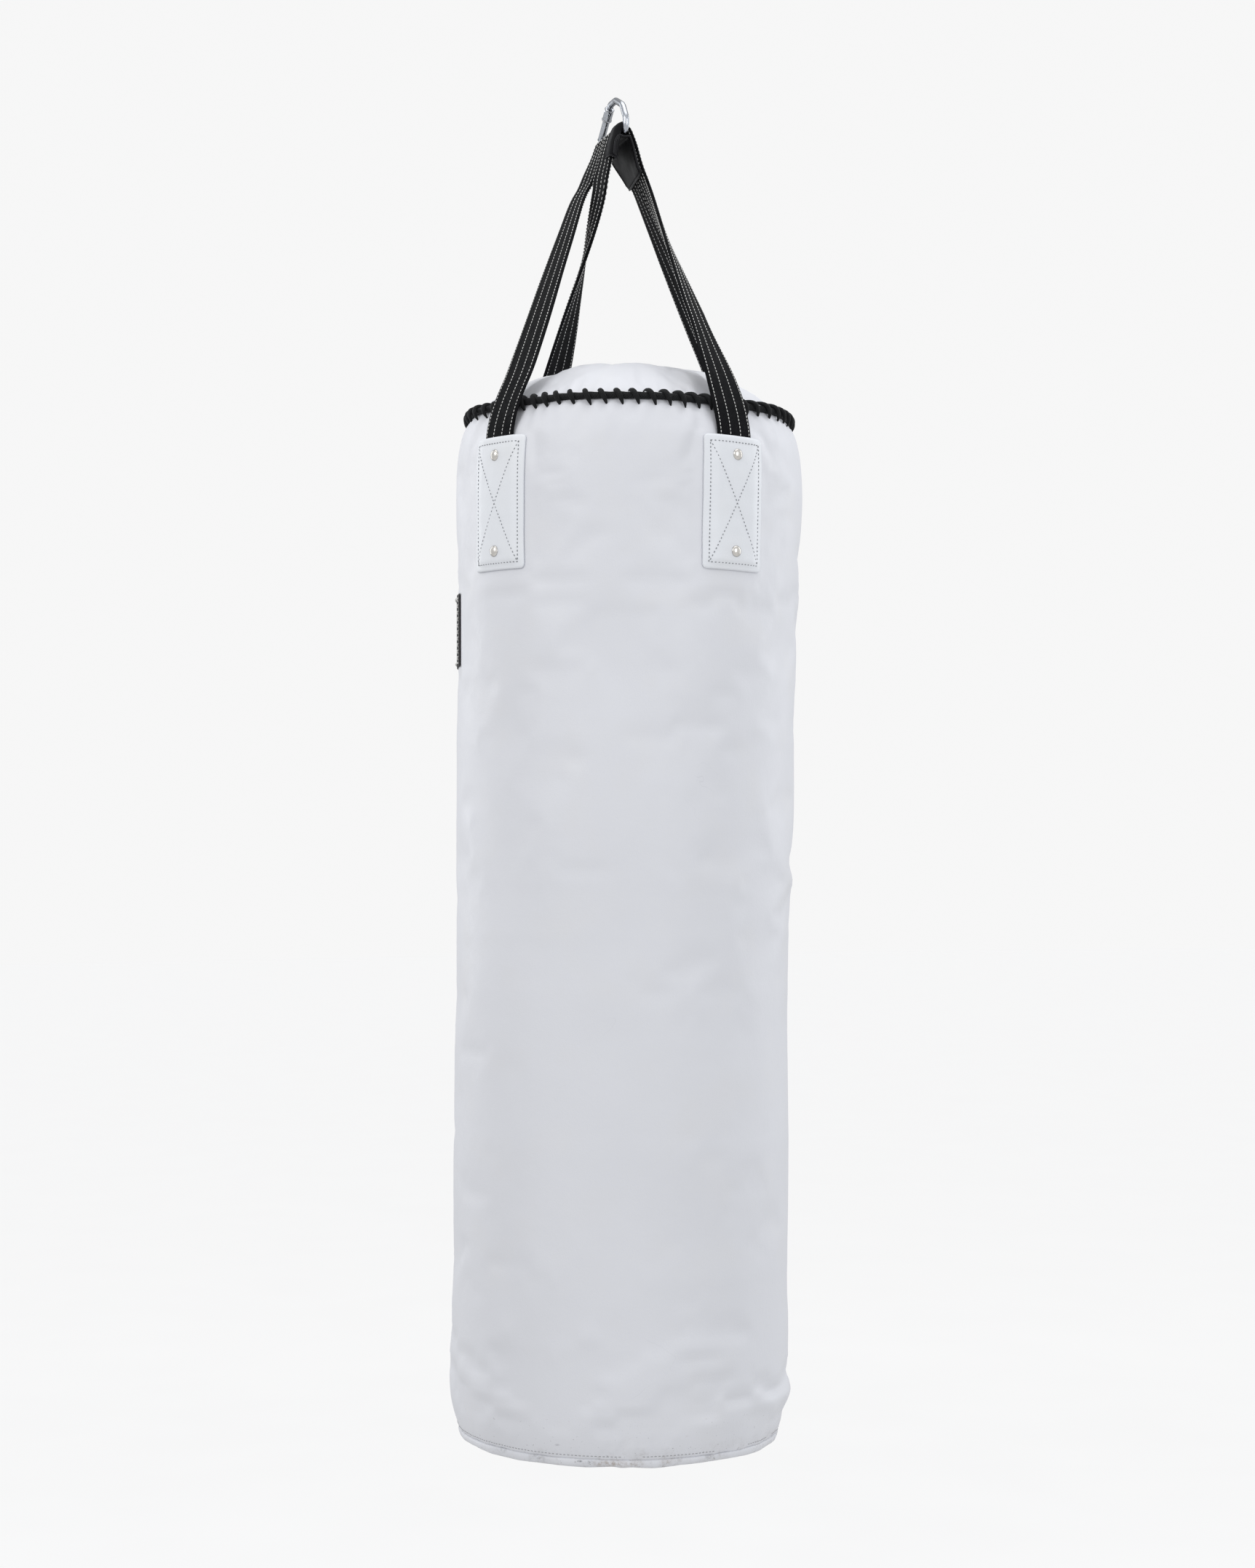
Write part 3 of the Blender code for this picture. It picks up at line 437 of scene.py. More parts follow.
def black_leather(name, base, rough):
    """Dull black leather, worn paler in spots."""
    mat = Material(name, base, rough)
    pebbles = mat.times(mat.cells(scale=720.0), 0.8)
    pebbles = mat.plus(pebbles, mat.times(mat.noise(scale=1600.0), 0.3))
    mat.bump(pebbles, strength=0.16, distance=0.0005)
    mat.bump(mat.noise(scale=60.0), strength=0.20, distance=0.0025)
    wear = mat.cloud(span=(0.55, 0.80), to=(0.0, 0.5), scale=90.0, detail=5.0, rough=0.65)
    worn = tuple(channel * 2.2 + 0.002 for channel in base)
    mat.set(Base_Color=mat.mix(wear, base, worn))
    mat.set(Roughness=mat.cloud(span=(0.3, 0.7), to=(rough - 0.08, rough + 0.10), scale=55.0),
            Coat_Weight=0.0, Specular_IOR_Level=0.16)
    return mat.data


def metal(name, base, rough, scale=220.0, stain=0.25, grazing_shade=0.10):
    """Streaked metal with painted shade: it darkens at grazing angles, down to the given share of
    its base.
    """
    mat = Material(name, base, rough, metallic=1.0)
    # painted shade: the base colour darkens where the surface turns away from the camera
    facing = mat.node("ShaderNodeLayerWeight")
    facing.inputs["Blend"].default_value = 0.42
    rim = mat.ramp(facing.outputs["Facing"], span=(0.22, 0.86))
    stains = mat.cloud(span=(0.35, 0.75), to=(0.0, stain * 2), scale=scale, detail=4.0, rough=0.6)
    colour = mat.mix(stains, base, scaled(base, 0.55))
    mat.set(Base_Color=mat.mix(rim, colour, scaled(base, grazing_shade)))
    streak = mat.noise(scale=scale * 0.6, rough=0.6, vector=mat.coords(scale=(1, 1, 14)))
    mat.set(Roughness=mat.ramp(streak, span=(0.3, 0.7), to=(rough - 0.06, rough + 0.14)))
    mat.bump(streak, strength=0.12, distance=0.0002)
    return mat.data


def fibre(name, base, scale):
    mat = Material(name, base, rough=0.95)
    tufts = mat.noise(scale=scale, detail=5.0, rough=0.65)
    mat.set(Base_Color=mat.mix(mat.ramp(tufts, span=(0.3, 0.7)), scaled(base, 0.6), base))
    mat.bump(tufts, strength=0.6, distance=0.002)
    mat.set(Sheen_Weight=0.3)
    return mat.data


SHELL_LEATHER = white_leather("shell_leather", (0.735, 0.745, 0.785), dirty=True)
PATCH_LEATHER = white_leather("patch_leather", (0.790, 0.812, 0.850), grain=1.2)
WEBBING = webbing_material()
WHITE_THREAD = thread_material("thread_white", (0.78, 0.78, 0.76))
GREY_THREAD = thread_material("thread_grey", (0.30, 0.31, 0.33))
SEAM_THREAD = thread_material("thread_seam", (0.42, 0.42, 0.43))
CORE_CORD = cord_material("lace_core_cord", (0.0075, 0.0080, 0.0090), pitch=0.0030)
WHIP_CORD = cord_material("lace_whip_cord", (0.0065, 0.0070, 0.0080), pitch=0.0022)
SADDLE_LEATHER = black_leather("saddle_leather", (0.0030, 0.0030, 0.0042), rough=0.60)
# painted highlight: the rolled edges are a lighter copy of the saddle leather, also used for the
# saddle's tonal stitching
HIGHLIT_EDGE_LEATHER = black_leather("saddle_rolled_edge_highlit", (0.0120, 0.0120, 0.0140), rough=0.48)
LABEL_LEATHER = black_leather("label_black", (0.0055, 0.0055, 0.0065), rough=0.50)
ZINC = metal("zinc_wire", (0.62, 0.65, 0.70), rough=0.22)
SPRING_STEEL = metal("spring_steel", (0.42, 0.43, 0.45), rough=0.30)
NICKEL = metal("nickel_rivet", (0.80, 0.770, 0.725), rough=0.26, scale=400.0, stain=0.12, grazing_shade=0.26)
FOAM = fibre("foam", (0.62, 0.63, 0.60), scale=400.0)
TEXTILE = fibre("textile", (0.45, 0.44, 0.42), scale=120.0)


# ------------------------------------------------------------------ mesh helpers
def make(name, verts, faces, materials, uvs=None, slots=None):
    """Smooth object from its points; slots gives each face's material."""
    mesh = bpy.data.meshes.new(name)
    mesh.from_pydata([tuple(map(float, vert)) for vert in verts], [], faces)
    for material in materials:
        mesh.materials.append(material)
    if uvs is not None:
        layer = mesh.uv_layers.new(name="UVMap")
        index = np.zeros(len(mesh.loops), int)
        mesh.loops.foreach_get("vertex_index", index)
        layer.data.foreach_set("uv", np.asarray(uvs, np.float32)[index].ravel())
    if slots is not None:
        mesh.polygons.foreach_set("material_index", np.asarray(slots, np.int32))
    mesh.polygons.foreach_set("use_smooth", [True] * len(mesh.polygons))
    mesh.update()
    ob = bpy.data.objects.new(name, mesh)
    bpy.context.scene.collection.objects.link(ob)
    return ob


def face_outwards(ob):
    bm = bmesh.new()
    bm.from_mesh(ob.data)
    bmesh.ops.recalc_face_normals(bm, faces=bm.faces)
    bm.to_mesh(ob.data)
    bm.free()


def register(ob, part, slot, *replaced):
    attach(ob, part)
    if replaced:
        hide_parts(*replaced)


def grid_faces(rows, cols, closed=False, offset=0, flip=False, looped=False):
    """Quads of a grid; closed joins the last column to the first, looped the last row."""
    faces = []
    for i in range(rows if looped else rows - 1):
        here, there = offset + i * cols, offset + (i + 1) % rows * cols
        for j in range(cols if closed else cols - 1):
            k = (j + 1) % cols
            quad = (here + j, here + k, there + k, there + j)
            faces.append(quad[::-1] if flip else quad)
    return faces


def end_caps(rings, sides):
    """The two end faces of a tube."""
    return [tuple(reversed(range(sides))), tuple((rings - 1) * sides + k for k in range(sides))]


def grid_normals(mid):
    normals = np.cross(np.gradient(mid, axis=0), np.gradient(mid, axis=1))
    return normals / np.linalg.norm(normals, axis=2, keepdims=True)


def edges_of(corners):
    """Pairs of neighbouring corners round a closed outline."""
    return list(zip(corners, corners[1:] + corners[:1]))


class Batch:
    """Collects many small pieces into one mesh."""

    def __init__(self):
        self.verts, self.faces, self.uvs, self.slots = [], [], [], []

    def add(self, verts, faces, uvs=None, slot=0):
        base = len(self.verts)
        self.verts += [tuple(vert) for vert in verts]
        self.faces += [tuple(base + i for i in face) for face in faces]
        self.uvs += list(uvs) if uvs is not None else [(0, 0)] * len(verts)
        self.slots += [slot] * len(faces)

    def tube(self, centres, radii, sides, normals, slot=0, flat=1.0, closed=False):
        """Tube through points; normals gives each ring's first axis, flat squashes along it."""
        centres = [Vector(centre) for centre in centres]
        count = len(centres)
        verts, uvs, length = [], [], 0.0
        for i, centre in enumerate(centres):
            before = centres[i - 1] if i > 0 or closed else centre
            after = centres[(i + 1) % count] if i < count - 1 or closed else centre
            tangent = (after - before).normalized()
            first = Vector(normals[i])
            first = (first - first.dot(tangent) * tangent).normalized()
            second = tangent.cross(first)
            if i:
                length += (centre - centres[i - 1]).length
            radius = radii[i] if hasattr(radii, "__len__") else radii
            for k in range(sides):
                turn = math.tau * k / sides
                verts.append(centre + first * (radius * flat * math.cos(turn))
                             + second * (radius * math.sin(turn)))
                uvs.append((radius * turn, length))
        faces = grid_faces(count, sides, closed=True, looped=closed)
        if not closed:
            faces += end_caps(count, sides)
        self.add(verts, faces, uvs, slot)

    def stitch(self, start, end, out, radius, lift, slot=1, sides=4):
        """One thread stitch lying on a surface whose outward direction is out."""
        start, end, out = Vector(start), Vector(end), Vector(out)
        points = [start - out * radius * 1.6, start.lerp(end, 0.16) + out * lift,
                  start.lerp(end, 0.5) + out * (lift + radius * 0.35),
                  start.lerp(end, 0.84) + out * lift, end - out * radius * 1.6]
        radii = [radius * 0.7, radius, radius, radius, radius * 0.7]
        self.tube(points, radii, sides, [out] * 5, slot)

    def object(self, name, materials):
        return make(name, self.verts, self.faces, materials, self.uvs, self.slots)


def thick_sheet(name, mid, normal, thick, uv, materials, trim):
    """Solid sheet from a grid of middle points and unit normals, thinner at its edges.

    trim(batch) adds the sheet's stitching and rolled edges."""
    rows, cols = mid.shape[:2]
    half = thick / 2 * np.ones((rows, cols, 1))
    for edge in (half[0], half[-1], half[:, 0], half[:, -1]):
        edge *= 0.45
    top = (mid + normal * half).reshape(-1, 3)
    bottom = (mid - normal * half).reshape(-1, 3)
    count = rows * cols
    faces = grid_faces(rows, cols) + grid_faces(rows, cols, offset=count, flip=True)
    rim = ([j for j in range(cols)] + [i * cols + cols - 1 for i in range(1, rows)]
           + [(rows - 1) * cols + j for j in range(cols - 2, -1, -1)]
           + [i * cols for i in range(rows - 2, 0, -1)])
    faces += [(b, a, a + count, b + count) for a, b in edges_of(rim)]
    flat_uv = uv.reshape(-1, 2)
    batch = Batch()
    batch.add(np.concatenate([top, bottom]), faces, np.concatenate([flat_uv, flat_uv]))
    trim(batch)
    ob = batch.object(name, materials)
    face_outwards(ob)
    return ob


def cut_corners(points, rounds):
    """Chaikin smoothing that keeps both ends."""
    for _ in range(rounds):
        cut = [points[0]]
        for a, b in zip(points, points[1:]):
            cut += [a.lerp(b, 0.25), a.lerp(b, 0.75)]
        cut.append(points[-1])
        points = cut
    return points


def resample(points, step):
    """Points spaced evenly along a line, about step apart."""
    total = [0.0]
    for a, b in zip(points, points[1:]):
        total.append(total[-1] + (b - a).length)
    count = max(2, round(total[-1] / step))
    spaced, i = [], 0
    for k in range(count + 1):
        distance = total[-1] * k / count
        while i < len(points) - 2 and total[i + 1] < distance:
            i += 1
        span = total[i + 1] - total[i]
        part = (distance - total[i]) / span if span else 0
        spaced.append(points[i].lerp(points[i + 1], part))
    return spaced


# ------------------------------------------------------------------ shape of the bag's skin
wall_curve = resample(cut_corners([Vector((radius, z, 0)) for z, radius in WALL], 3), 0.0015)
WALL_DEPTH = np.array([-point.y for point in wall_curve])
WALL_RADIUS = np.array([point.x for point in wall_curve])

# soft creases: from angle, z, to angle, z, depth, half width
FOLDS = [
    (31.5, -0.385, 24.0, -0.432, 0.0016, 0.009), (27.0, -0.400, 15.0, -0.452, 0.0010, 0.013),
    (-31.0, -0.386, -24.5, -0.430, 0.0014, 0.010), (-26.0, -0.405, -12.0, -0.465, 0.0008, 0.014),
    (54.0, -0.380, 63.0, -0.420, 0.0018, 0.010), (62.0, -0.400, 80.0, -0.430, 0.0013, 0.012),
    (-54.0, -0.382, -62.0, -0.425, 0.0014, 0.010), (4.0, -0.366, 2.0, -0.405, 0.0008, 0.008),
    (-8.0, -0.366, -11.0, -0.398, 0.0008, 0.007), (14.0, -0.368, 12.0, -0.410, 0.0007, 0.008),
    (20.0, -0.842, 24.0, -0.868, 0.0006, 0.010), (86.0, -0.846, 112.0, -0.862, 0.0028, 0.012),
    (100.0, -0.830, 128.0, -0.826, 0.0012, 0.012), (92.0, -0.500, 104.0, -0.560, 0.0016, 0.016),
    (127.0, -0.384, 118.0, -0.430, 0.0018, 0.010), (152.0, -0.384, 160.0, -0.425, 0.0016, 0.010),
    (-126.0, -0.384, -118.0, -0.428, 0.0018, 0.010),
    (-150.0, -0.386, -160.0, -0.430, 0.0015, 0.010),
    (172.0, -0.400, 190.0, -0.408, 0.0012, 0.012), (-60.0, -1.392, -44.0, -1.404, 0.0006, 0.012),
    (60.0, -1.4120, 74.0, -1.4320, 0.0016, 0.010), (150.0, -1.380, 172.0, -1.400, 0.0018, 0.014),
    (186.0, -0.900, 206.0, -0.915, 0.0014, 0.014),
    (-150.0, -1.180, -128.0, -1.172, 0.0012, 0.012),
    (9.0, -1.4620, 7.0, -1.4780, 0.0012, 0.004), (13.5, -1.4640, 14.0, -1.4800, 0.0010, 0.004),
    (4.0, -1.4660, 2.0, -1.4800, 0.0009, 0.004), (17.0, -1.4600, 20.0, -1.4780, 0.0009, 0.005),
    (26.0, -1.4640, 28.0, -1.4790, 0.0008, 0.005), (-30.0, -1.4680, -33.0, -1.4800, 0.0008, 0.005),
]
# stuffing lumps and a hollow on the right: height, offset round the wall, z, half widths
LUMP_ANGLE = 88
LUMPS = [
    (0.0042, 0.0, -1.4380, 0.060, 0.013),
    (0.0021, 0.0, -0.445, 0.090, 0.050),
    (-0.0020, 0.02, -1.000, 0.10, 0.120),
]
# places held flat by a piece sewn over them: angle, then the spans over which the hold
# fades sideways, at the bottom and at the top
HELD = [(angle, (0.040, 0.050), (-0.548, -0.541), (-0.396, -0.388))
        for angle in LEG_ANGLE.values()]
HELD.append((LABEL_ANGLE, (0.068, 0.078), (-0.646, -0.638), (-0.553, -0.545)))

SETTLED = {}  # settled cloth fields: "wall" and "dome"


def wall_r(z):
    return np.interp(-np.asarray(z, float), WALL_DEPTH, WALL_RADIUS)


def leg_press(angle):
    """How far the nearest strap presses the rim in at this angle."""
    angle = np.asarray(angle, float)
    nearest = np.min([np.abs(turn_from(angle, leg)) for leg in LEG_ANGLE.values()], axis=0)
    return PRESS * (1 - smoothstep(9.5, 26.0, nearest))


def pinch(angle, z):
    """The same on the wall, fading out below the rim."""
    return leg_press(angle) * (1 - smoothstep(0.360, 0.399, -np.asarray(z, float)))


def free_skin(angle, z):
    """1 in the clear, 0 under the patches and the label."""
    free = 1.0
    for centre, side, bottom, top in HELD:
        across = np.abs(arc_from(angle, centre))
        inside = (1 - smoothstep(*side, across)) * smoothstep(*bottom, z)
        free = free * (1 - inside * (1 - smoothstep(*top, z)))
    return free


def wrinkle(angle, z):
    """Displacement of the skin along its outward direction."""
    angle, z = np.broadcast_arrays(np.asarray(angle, float), np.asarray(z, float))
    x, y = heading(angle)
    # broad unevenness
    rise = 0.0011 * ripple(x, y, z, around=1.3, up=5.0)
    rise = rise + 0.00055 * ripple(x, y, z, around=3.4, up=14.0, shift=5)
    # gathers below the laced rim
    depth = RIM_Z - z
    gather = np.exp(-np.clip(depth, 0, 1) / 0.024) * smoothstep(0.003, 0.009, depth)
    rise = rise + gather * (0.0013 * ripple(x, y, z, around=10, up=9.0, shift=3)
                            + 0.0006 * np.cos(angle * math.pi / 180 * HOLES))
    # puckers above the bottom seam
    pucker = np.exp(-np.clip(z - SEAM_Z, 0, 1) / 0.020)
    rise = rise + pucker * (0.0014 * ripple(x, y, z, around=9, up=12.0, shift=-2)
                            + 0.0007 * ripple(x, y, z, around=26, up=20.0))
    for angle0, z0, angle1, z1, deep, half in FOLDS:
        across, up = arc_from(angle, angle0), z - z0
        run_across, run_up = (angle1 - angle0) * math.pi / 180 * ROUND_R, z1 - z0
        length = math.hypot(run_across, run_up)
        along = (across * run_across + up * run_up) / length ** 2
        side = (across * run_up - up * run_across) / length
        fade = smoothstep(-0.25, 0.25, along) * (1 - smoothstep(0.65, 1.35, along))
        # a valley with a lower ridge beside it
        profile = (-np.exp(-(side / half) ** 2)
                   + 0.75 * np.exp(-((side - half * 1.7) / (half * 1.1)) ** 2))
        rise = rise + deep * fade * profile
    across = arc_from(angle, LUMP_ANGLE)
    for height, offset, lump_z, wide, tall in LUMPS:
        rise = rise + height * np.exp(-((across - offset) / wide) ** 2
                                      - ((z - lump_z) / tall) ** 2)
    if "wall" in SETTLED:
        rise = rise + settled_at("wall", (SKIN_TOP - z) / (SKIN_TOP - SKIN_BOTTOM), angle)
    return rise * free_skin(angle, z)


def skin(angle, z, off=0.0, wrinkled=True):
    """Points of the outer skin, off outside it."""
    radius = wall_r(z) - pinch(angle, z) + off
    if wrinkled:
        radius = radius + wrinkle(angle, z)
    return around(angle, radius, z)


# ------------------------------------------------------------------ cloth settling
def settle(points, faces, hold, pressure, grow, bending, frames=18):
    """Settles a stuffed sheet with its sewn edges held; returns how far each point moved."""
    scene = bpy.context.scene
    mesh = bpy.data.meshes.new("settling")
    mesh.from_pydata([tuple(map(float, point)) for point in points], [], faces)
    ob = bpy.data.objects.new("settling", mesh)
    scene.collection.objects.link(ob)
    group = ob.vertex_groups.new(name="sewn")
    for i, weight in enumerate(hold):
        if weight > 0:
            group.add([i], float(weight), "REPLACE")
    modifier = ob.modifiers.new("cloth", "CLOTH")
    cloth = modifier.settings
    cloth.quality = 5
    cloth.mass = 0.5
    cloth.tension_stiffness = 25
    cloth.compression_stiffness = 25
    cloth.shear_stiffness = 12
    cloth.bending_stiffness = bending
    cloth.air_damping = 6
    cloth.use_pressure = True
    cloth.uniform_pressure_force = pressure
    cloth.vertex_group_mass = "sewn"
    cloth.shrink_min = -grow
    cloth.effector_weights.gravity = 0.0
    modifier.point_cache.frame_start = 1
    modifier.point_cache.frame_end = frames
    for number in range(1, frames + 1):
        scene.frame_set(number)
    evaluated = ob.evaluated_get(bpy.context.evaluated_depsgraph_get())
    settled = np.zeros(len(mesh.vertices) * 3)
    evaluated.data.vertices.foreach_get("co", settled)
    bpy.data.objects.remove(ob, do_unlink=True)
    bpy.data.meshes.remove(mesh)
    scene.frame_set(1)
    return settled.reshape(-1, 3) - np.asarray(points, float)


def settled_at(key, down, angle):
    """Bilinear read of a settled field; down runs 0..1 over its rows."""
    field = SETTLED[key]
    rows, cols = field.shape[:2]
    down = np.clip(np.asarray(down, float), 0, 1) * (rows - 1)
    turn = (np.asarray(angle, float) % 360) * cols / 360
    i = np.minimum(down.astype(int), rows - 2)
    j = turn.astype(int) % cols
    k = (j + 1) % cols
    low, side = down - i, turn - np.floor(turn)
    return (field[i, j] * (1 - low) * (1 - side) + field[i + 1, j] * low * (1 - side)
            + field[i, k] * (1 - low) * side + field[i + 1, k] * low * side)


def settle_wall():
    """Radial movement of the wall, on evenly spaced rows."""
    limit = 0.0018
    rows, sectors, dense_rows = 116, 144, 30
    dense_end = -0.470
    heights = np.concatenate([np.linspace(SKIN_TOP, dense_end, dense_rows)[:-1],
                              np.linspace(dense_end, SKIN_BOTTOM, rows - dense_rows + 1)])
    angles, z = np.meshgrid(full_turn(sectors), heights)
    radius = wall_r(z) - pinch(angles, z) + wrinkle(angles, z) - 0.0015
    hold = 1 - free_skin(angles, z)
    hold[:2] = 1
    hold[-2:] = 1
    moved = settle(axis_points(angles, radius, z).reshape(-1, 3),
                   grid_faces(rows, sectors, closed=True, flip=True), hold.ravel(),
                   pressure=1.2, grow=0.016, bending=0.6).reshape(rows, sectors, 3)
    x, y = heading(angles)
    radial = moved[..., 0] * x + moved[..., 1] * y
    radial = radial - radial.mean(axis=1, keepdims=True)
    radial = limit * np.tanh(radial / limit)
    even = np.linspace(heights[0], heights[-1], 420)
    return np.stack([np.interp(-even, -heights, radial[:, j]) for j in range(sectors)], 1)


# ------------------------------------------------------------------ wall skin
# row spacing down the wall: while above this z, step
ROW_STEPS = [(-0.372, 0.0022), (-0.45, 0.0036), (-1.42, 0.0062), (SKIN_BOTTOM, 0.0026)]


def wall_rows():
    rows = []
    z = SKIN_TOP
    while z > SKIN_BOTTOM:
        rows.append(z)
        z -= next(step for floor, step in ROW_STEPS if z > floor)
    return np.array(rows + [SKIN_BOTTOM])


def bag_wall():
    """Outer skin, with one plain inner face between its top and bottom edges."""
    angles, z = np.meshgrid(full_turn(300), wall_rows())
    outer = skin(angles, z)
    rows, cols = angles.shape
    end_angles, end_z = angles[[0, -1]], z[[0, -1]]
    inner = around(end_angles, wall_r(end_z) - pinch(end_angles, end_z) - SHELL_T, end_z)
    faces = grid_faces(rows, cols, closed=True, flip=True)
    base = rows * cols
    last = base - cols
    for j in range(cols):
        k = (j + 1) % cols
        faces.append((j, k, base + k, base + j))
        faces.append((last + k, last + j, base + cols + j, base + cols + k))
        faces.append((base + j, base + k, base + cols + k, base + cols + j))
    verts = np.concatenate([outer.reshape(-1, 3), inner.reshape(-1, 3)])
    ob = make("bag_wall_skin", verts, faces, [SHELL_LEATHER])
    register(ob, "bag", "white_shell", "shell_wall")


SETTLED["wall"] = settle_wall()
bag_wall()

# ------------------------------------------------------------------ stuffed top panel
CAP_CORE = 0.06  # the settled field starts at this share of CAP_R


def dome(radius):
    return RIM_Z + 0.0015 + DOME_H * (1 - (radius / DOME_R) ** DOME_POWER)


def cap_surface(angle, radius):
    """Top of the panel before settling: squeezed radius and height."""
    x, y = heading(angle)
    press = leg_press(angle) * smoothstep(0.085, CAP_R, radius)
    swell = perlin(x * 2.1 * radius / CAP_R, y * 2.1 * radius / CAP_R, 0.0)
    z = dome(radius) + 0.0022 * swell * (1 - smoothstep(0.130, CAP_R, radius) * 0.5)
    fold = 0.0016 * np.maximum(0, ripple(x, y, radius, around=7, up=6))
    fold = fold * smoothstep(0.09, 0.150, radius)
    # one scallop for each lacing hole
    scallop = 0.0011 * np.cos(np.radians(angle) * HOLES) * smoothstep(0.150, CAP_R, radius)
    return radius - press, z - fold + scallop


def settle_dome():
    """Vertical movement of the top panel."""
    limit = 0.0026
    rings, sectors = 30, 132
    angles, radii = np.meshgrid(full_turn(sectors), CAP_R * np.linspace(CAP_CORE, 1.0, rings))
    radius, z = cap_surface(angles, radii)
    points = np.concatenate([axis_points(angles, radius, z).reshape(-1, 3),
                             [[0, 0, float(z[0].mean())]]])
    faces = grid_faces(rings, sectors, closed=True)
    faces += [(rings * sectors, j, (j + 1) % sectors) for j in range(sectors)]
    hold = np.zeros((rings, sectors))
    hold[-1] = 1
    hold[-2, ::2] = 0.8
    hold[-3] = 0.25
    moved = settle(points, faces, np.append(hold.ravel(), 0),
                   pressure=1.5, grow=0.030, bending=0.4)
    moved = moved[:-1, 2].reshape(rings, sectors)
    moved = moved - moved.mean(axis=1, keepdims=True)
    return limit * (np.tanh(moved / limit) - 0.45)


def top_panel(rings=44, sectors=264):
    """Closed pad: the dome and a plain underside; its edge tucks under the lace."""
    ring_radii = 0.1732 * np.linspace(0.0, 1.0, rings + 1)[1:] ** 0.85
    angles, radii = np.meshgrid(full_turn(sectors), ring_radii)
    radius, z = cap_surface(angles, radii)
    if "dome" in SETTLED:
        share = radii / CAP_R
        z = z + (settled_at("dome", (share - CAP_CORE) / (1 - CAP_CORE), angles)
                 * smoothstep(0.02, 0.30, share))
    top = around(angles, radius, z).reshape(-1, 3)
    crown = around([0], 0, dome(0))
    under = around(angles[-1], radius[-1] * 0.995, z[-1] - 0.0021)
    under_centre = around([0], 0, dome(0) - 0.0024)
    count = len(top)
    faces = grid_faces(rings, sectors, closed=True)
    for j in range(sectors):
        k = (j + 1) % sectors
        faces.append((count, j, k))
        faces.append((count + 1 + j, count + 1 + k, count - sectors + k, count - sectors + j))
        faces.append((count + 1 + sectors, count + 1 + k, count + 1 + j))
    verts = np.concatenate([top, crown, under, under_centre])
    ob = make("bag_top_panel", verts, faces, [SHELL_LEATHER])
    face_outwards(ob)
    register(ob, "bag", "white_shell", "top_cap")


SETTLED["dome"] = settle_dome()
top_panel()

# ------------------------------------------------------------------ bottom welt and panel
WELT_DROP = 0.0092
# closed welt section: radius, height above the seam
WELT = [
    (0.1774, 0.0002), (0.1789, -0.0012), (0.1792, -0.0034), (0.1786, -0.0060),
    (0.1774, -0.0082), (0.1760, -WELT_DROP), (0.1746, -0.0090), (0.1738, -0.0074),
    (0.1742, -0.0048), (0.1752, -0.0024), (0.1762, -0.0006),
]
SEAM_STITCHES = 264


def bottom_welt():
    """Uneven rolled welt, with the broken row of seam stitches above it."""
    angles = full_turn(240)
    x, y = heading(angles)
    wobble = (ripple(x, y, 0.3, around=5, up=1) * 0.0022
              + ripple(x, y, 1.7, around=17, up=1) * 0.0010)
    sway = ripple(x, y, 0.0, around=4, up=1, shift=9) * 0.0026 + 0.0006
    lump = 0.0030 * np.exp(-(turn_from(angles, 8) / 2.2) ** 2)
    rings = []
    for radius, up in WELT:
        hang = -up / WELT_DROP
        z = SEAM_Z + up + hang * sway - lump * hang * 0.4
        z = np.minimum(z, SEAM_Z + 0.0004)
        rings.append(around(angles, radius + hang * wobble * 0.9 + lump * 0.5, z))
    batch = Batch()
    batch.add(np.array(rings).reshape(-1, 3),
              grid_faces(len(WELT), len(angles), closed=True, looped=True))
    for j in range(SEAM_STITCHES):
        angle = j * 360 / SEAM_STITCHES
        if jitter(angle * 0.05, 2.0) > -0.12:
            start, end = skin([angle, angle + 0.86], -1.4805, off=0.0002)
            batch.stitch(start, end, out_dir(angle + 0.4), radius=0.00032, lift=0.0)
    ob = batch.object("bag_bottom_welt", [SHELL_LEATHER, SEAM_THREAD])
    face_outwards(ob)
    register(ob, "bag", "white_shell", "bottom_welt")


def bottom_panel():
    """Sagging round sheet inside the welt."""
    thick = 0.0018
    sectors = 180
    ring_radii = np.linspace(0, 0.1755, 34)[1:]
    angles, radii = np.meshgrid(full_turn(sectors), ring_radii)
    x, y = heading(angles)
    rough = 0.0009 * perlin(x * radii * 22, y * radii * 22, 0.0)
    sag = (SEAM_Z - 0.0010 - 0.0055 * (1 - (radii / 0.178) ** 2.5)
           - rough * (1 - smoothstep(0.15, 0.175, radii)))
    lower = around(angles, radii, sag).reshape(-1, 3)
    upper = around(angles, radii, sag + thick).reshape(-1, 3)
    centres = around([0, 0], 0, [SEAM_Z - 0.0066, SEAM_Z - 0.0048])
    count = len(lower)
    faces = (grid_faces(len(ring_radii), sectors, closed=True, flip=True)
             + grid_faces(len(ring_radii), sectors, closed=True, offset=count))
    rim, upper_rim = count - sectors, 2 * count - sectors
    for j in range(sectors):
        k = (j + 1) % sectors
        faces.append((2 * count, k, j))
        faces.append((2 * count + 1, count + j, count + k))
        faces.append((rim + j, rim + k, upper_rim + k, upper_rim + j))
    verts = np.concatenate([lower, upper, centres])
    ob = make("bag_bottom_panel", verts, faces, [SHELL_LEATHER])
    face_outwards(ob)
    register(ob, "bag", "white_shell", "bottom_panel")


bottom_welt()
bottom_panel()

# ------------------------------------------------------------------ lacing
CORE_R = 0.0037
LACE_TILT = math.radians(28)  # the lacing faces this far above level
CORE_PER_HOLE = 6


def rim_point(angle):
    return axis_vector(angle, LACE_R - float(leg_press(angle)), LACE_Z)


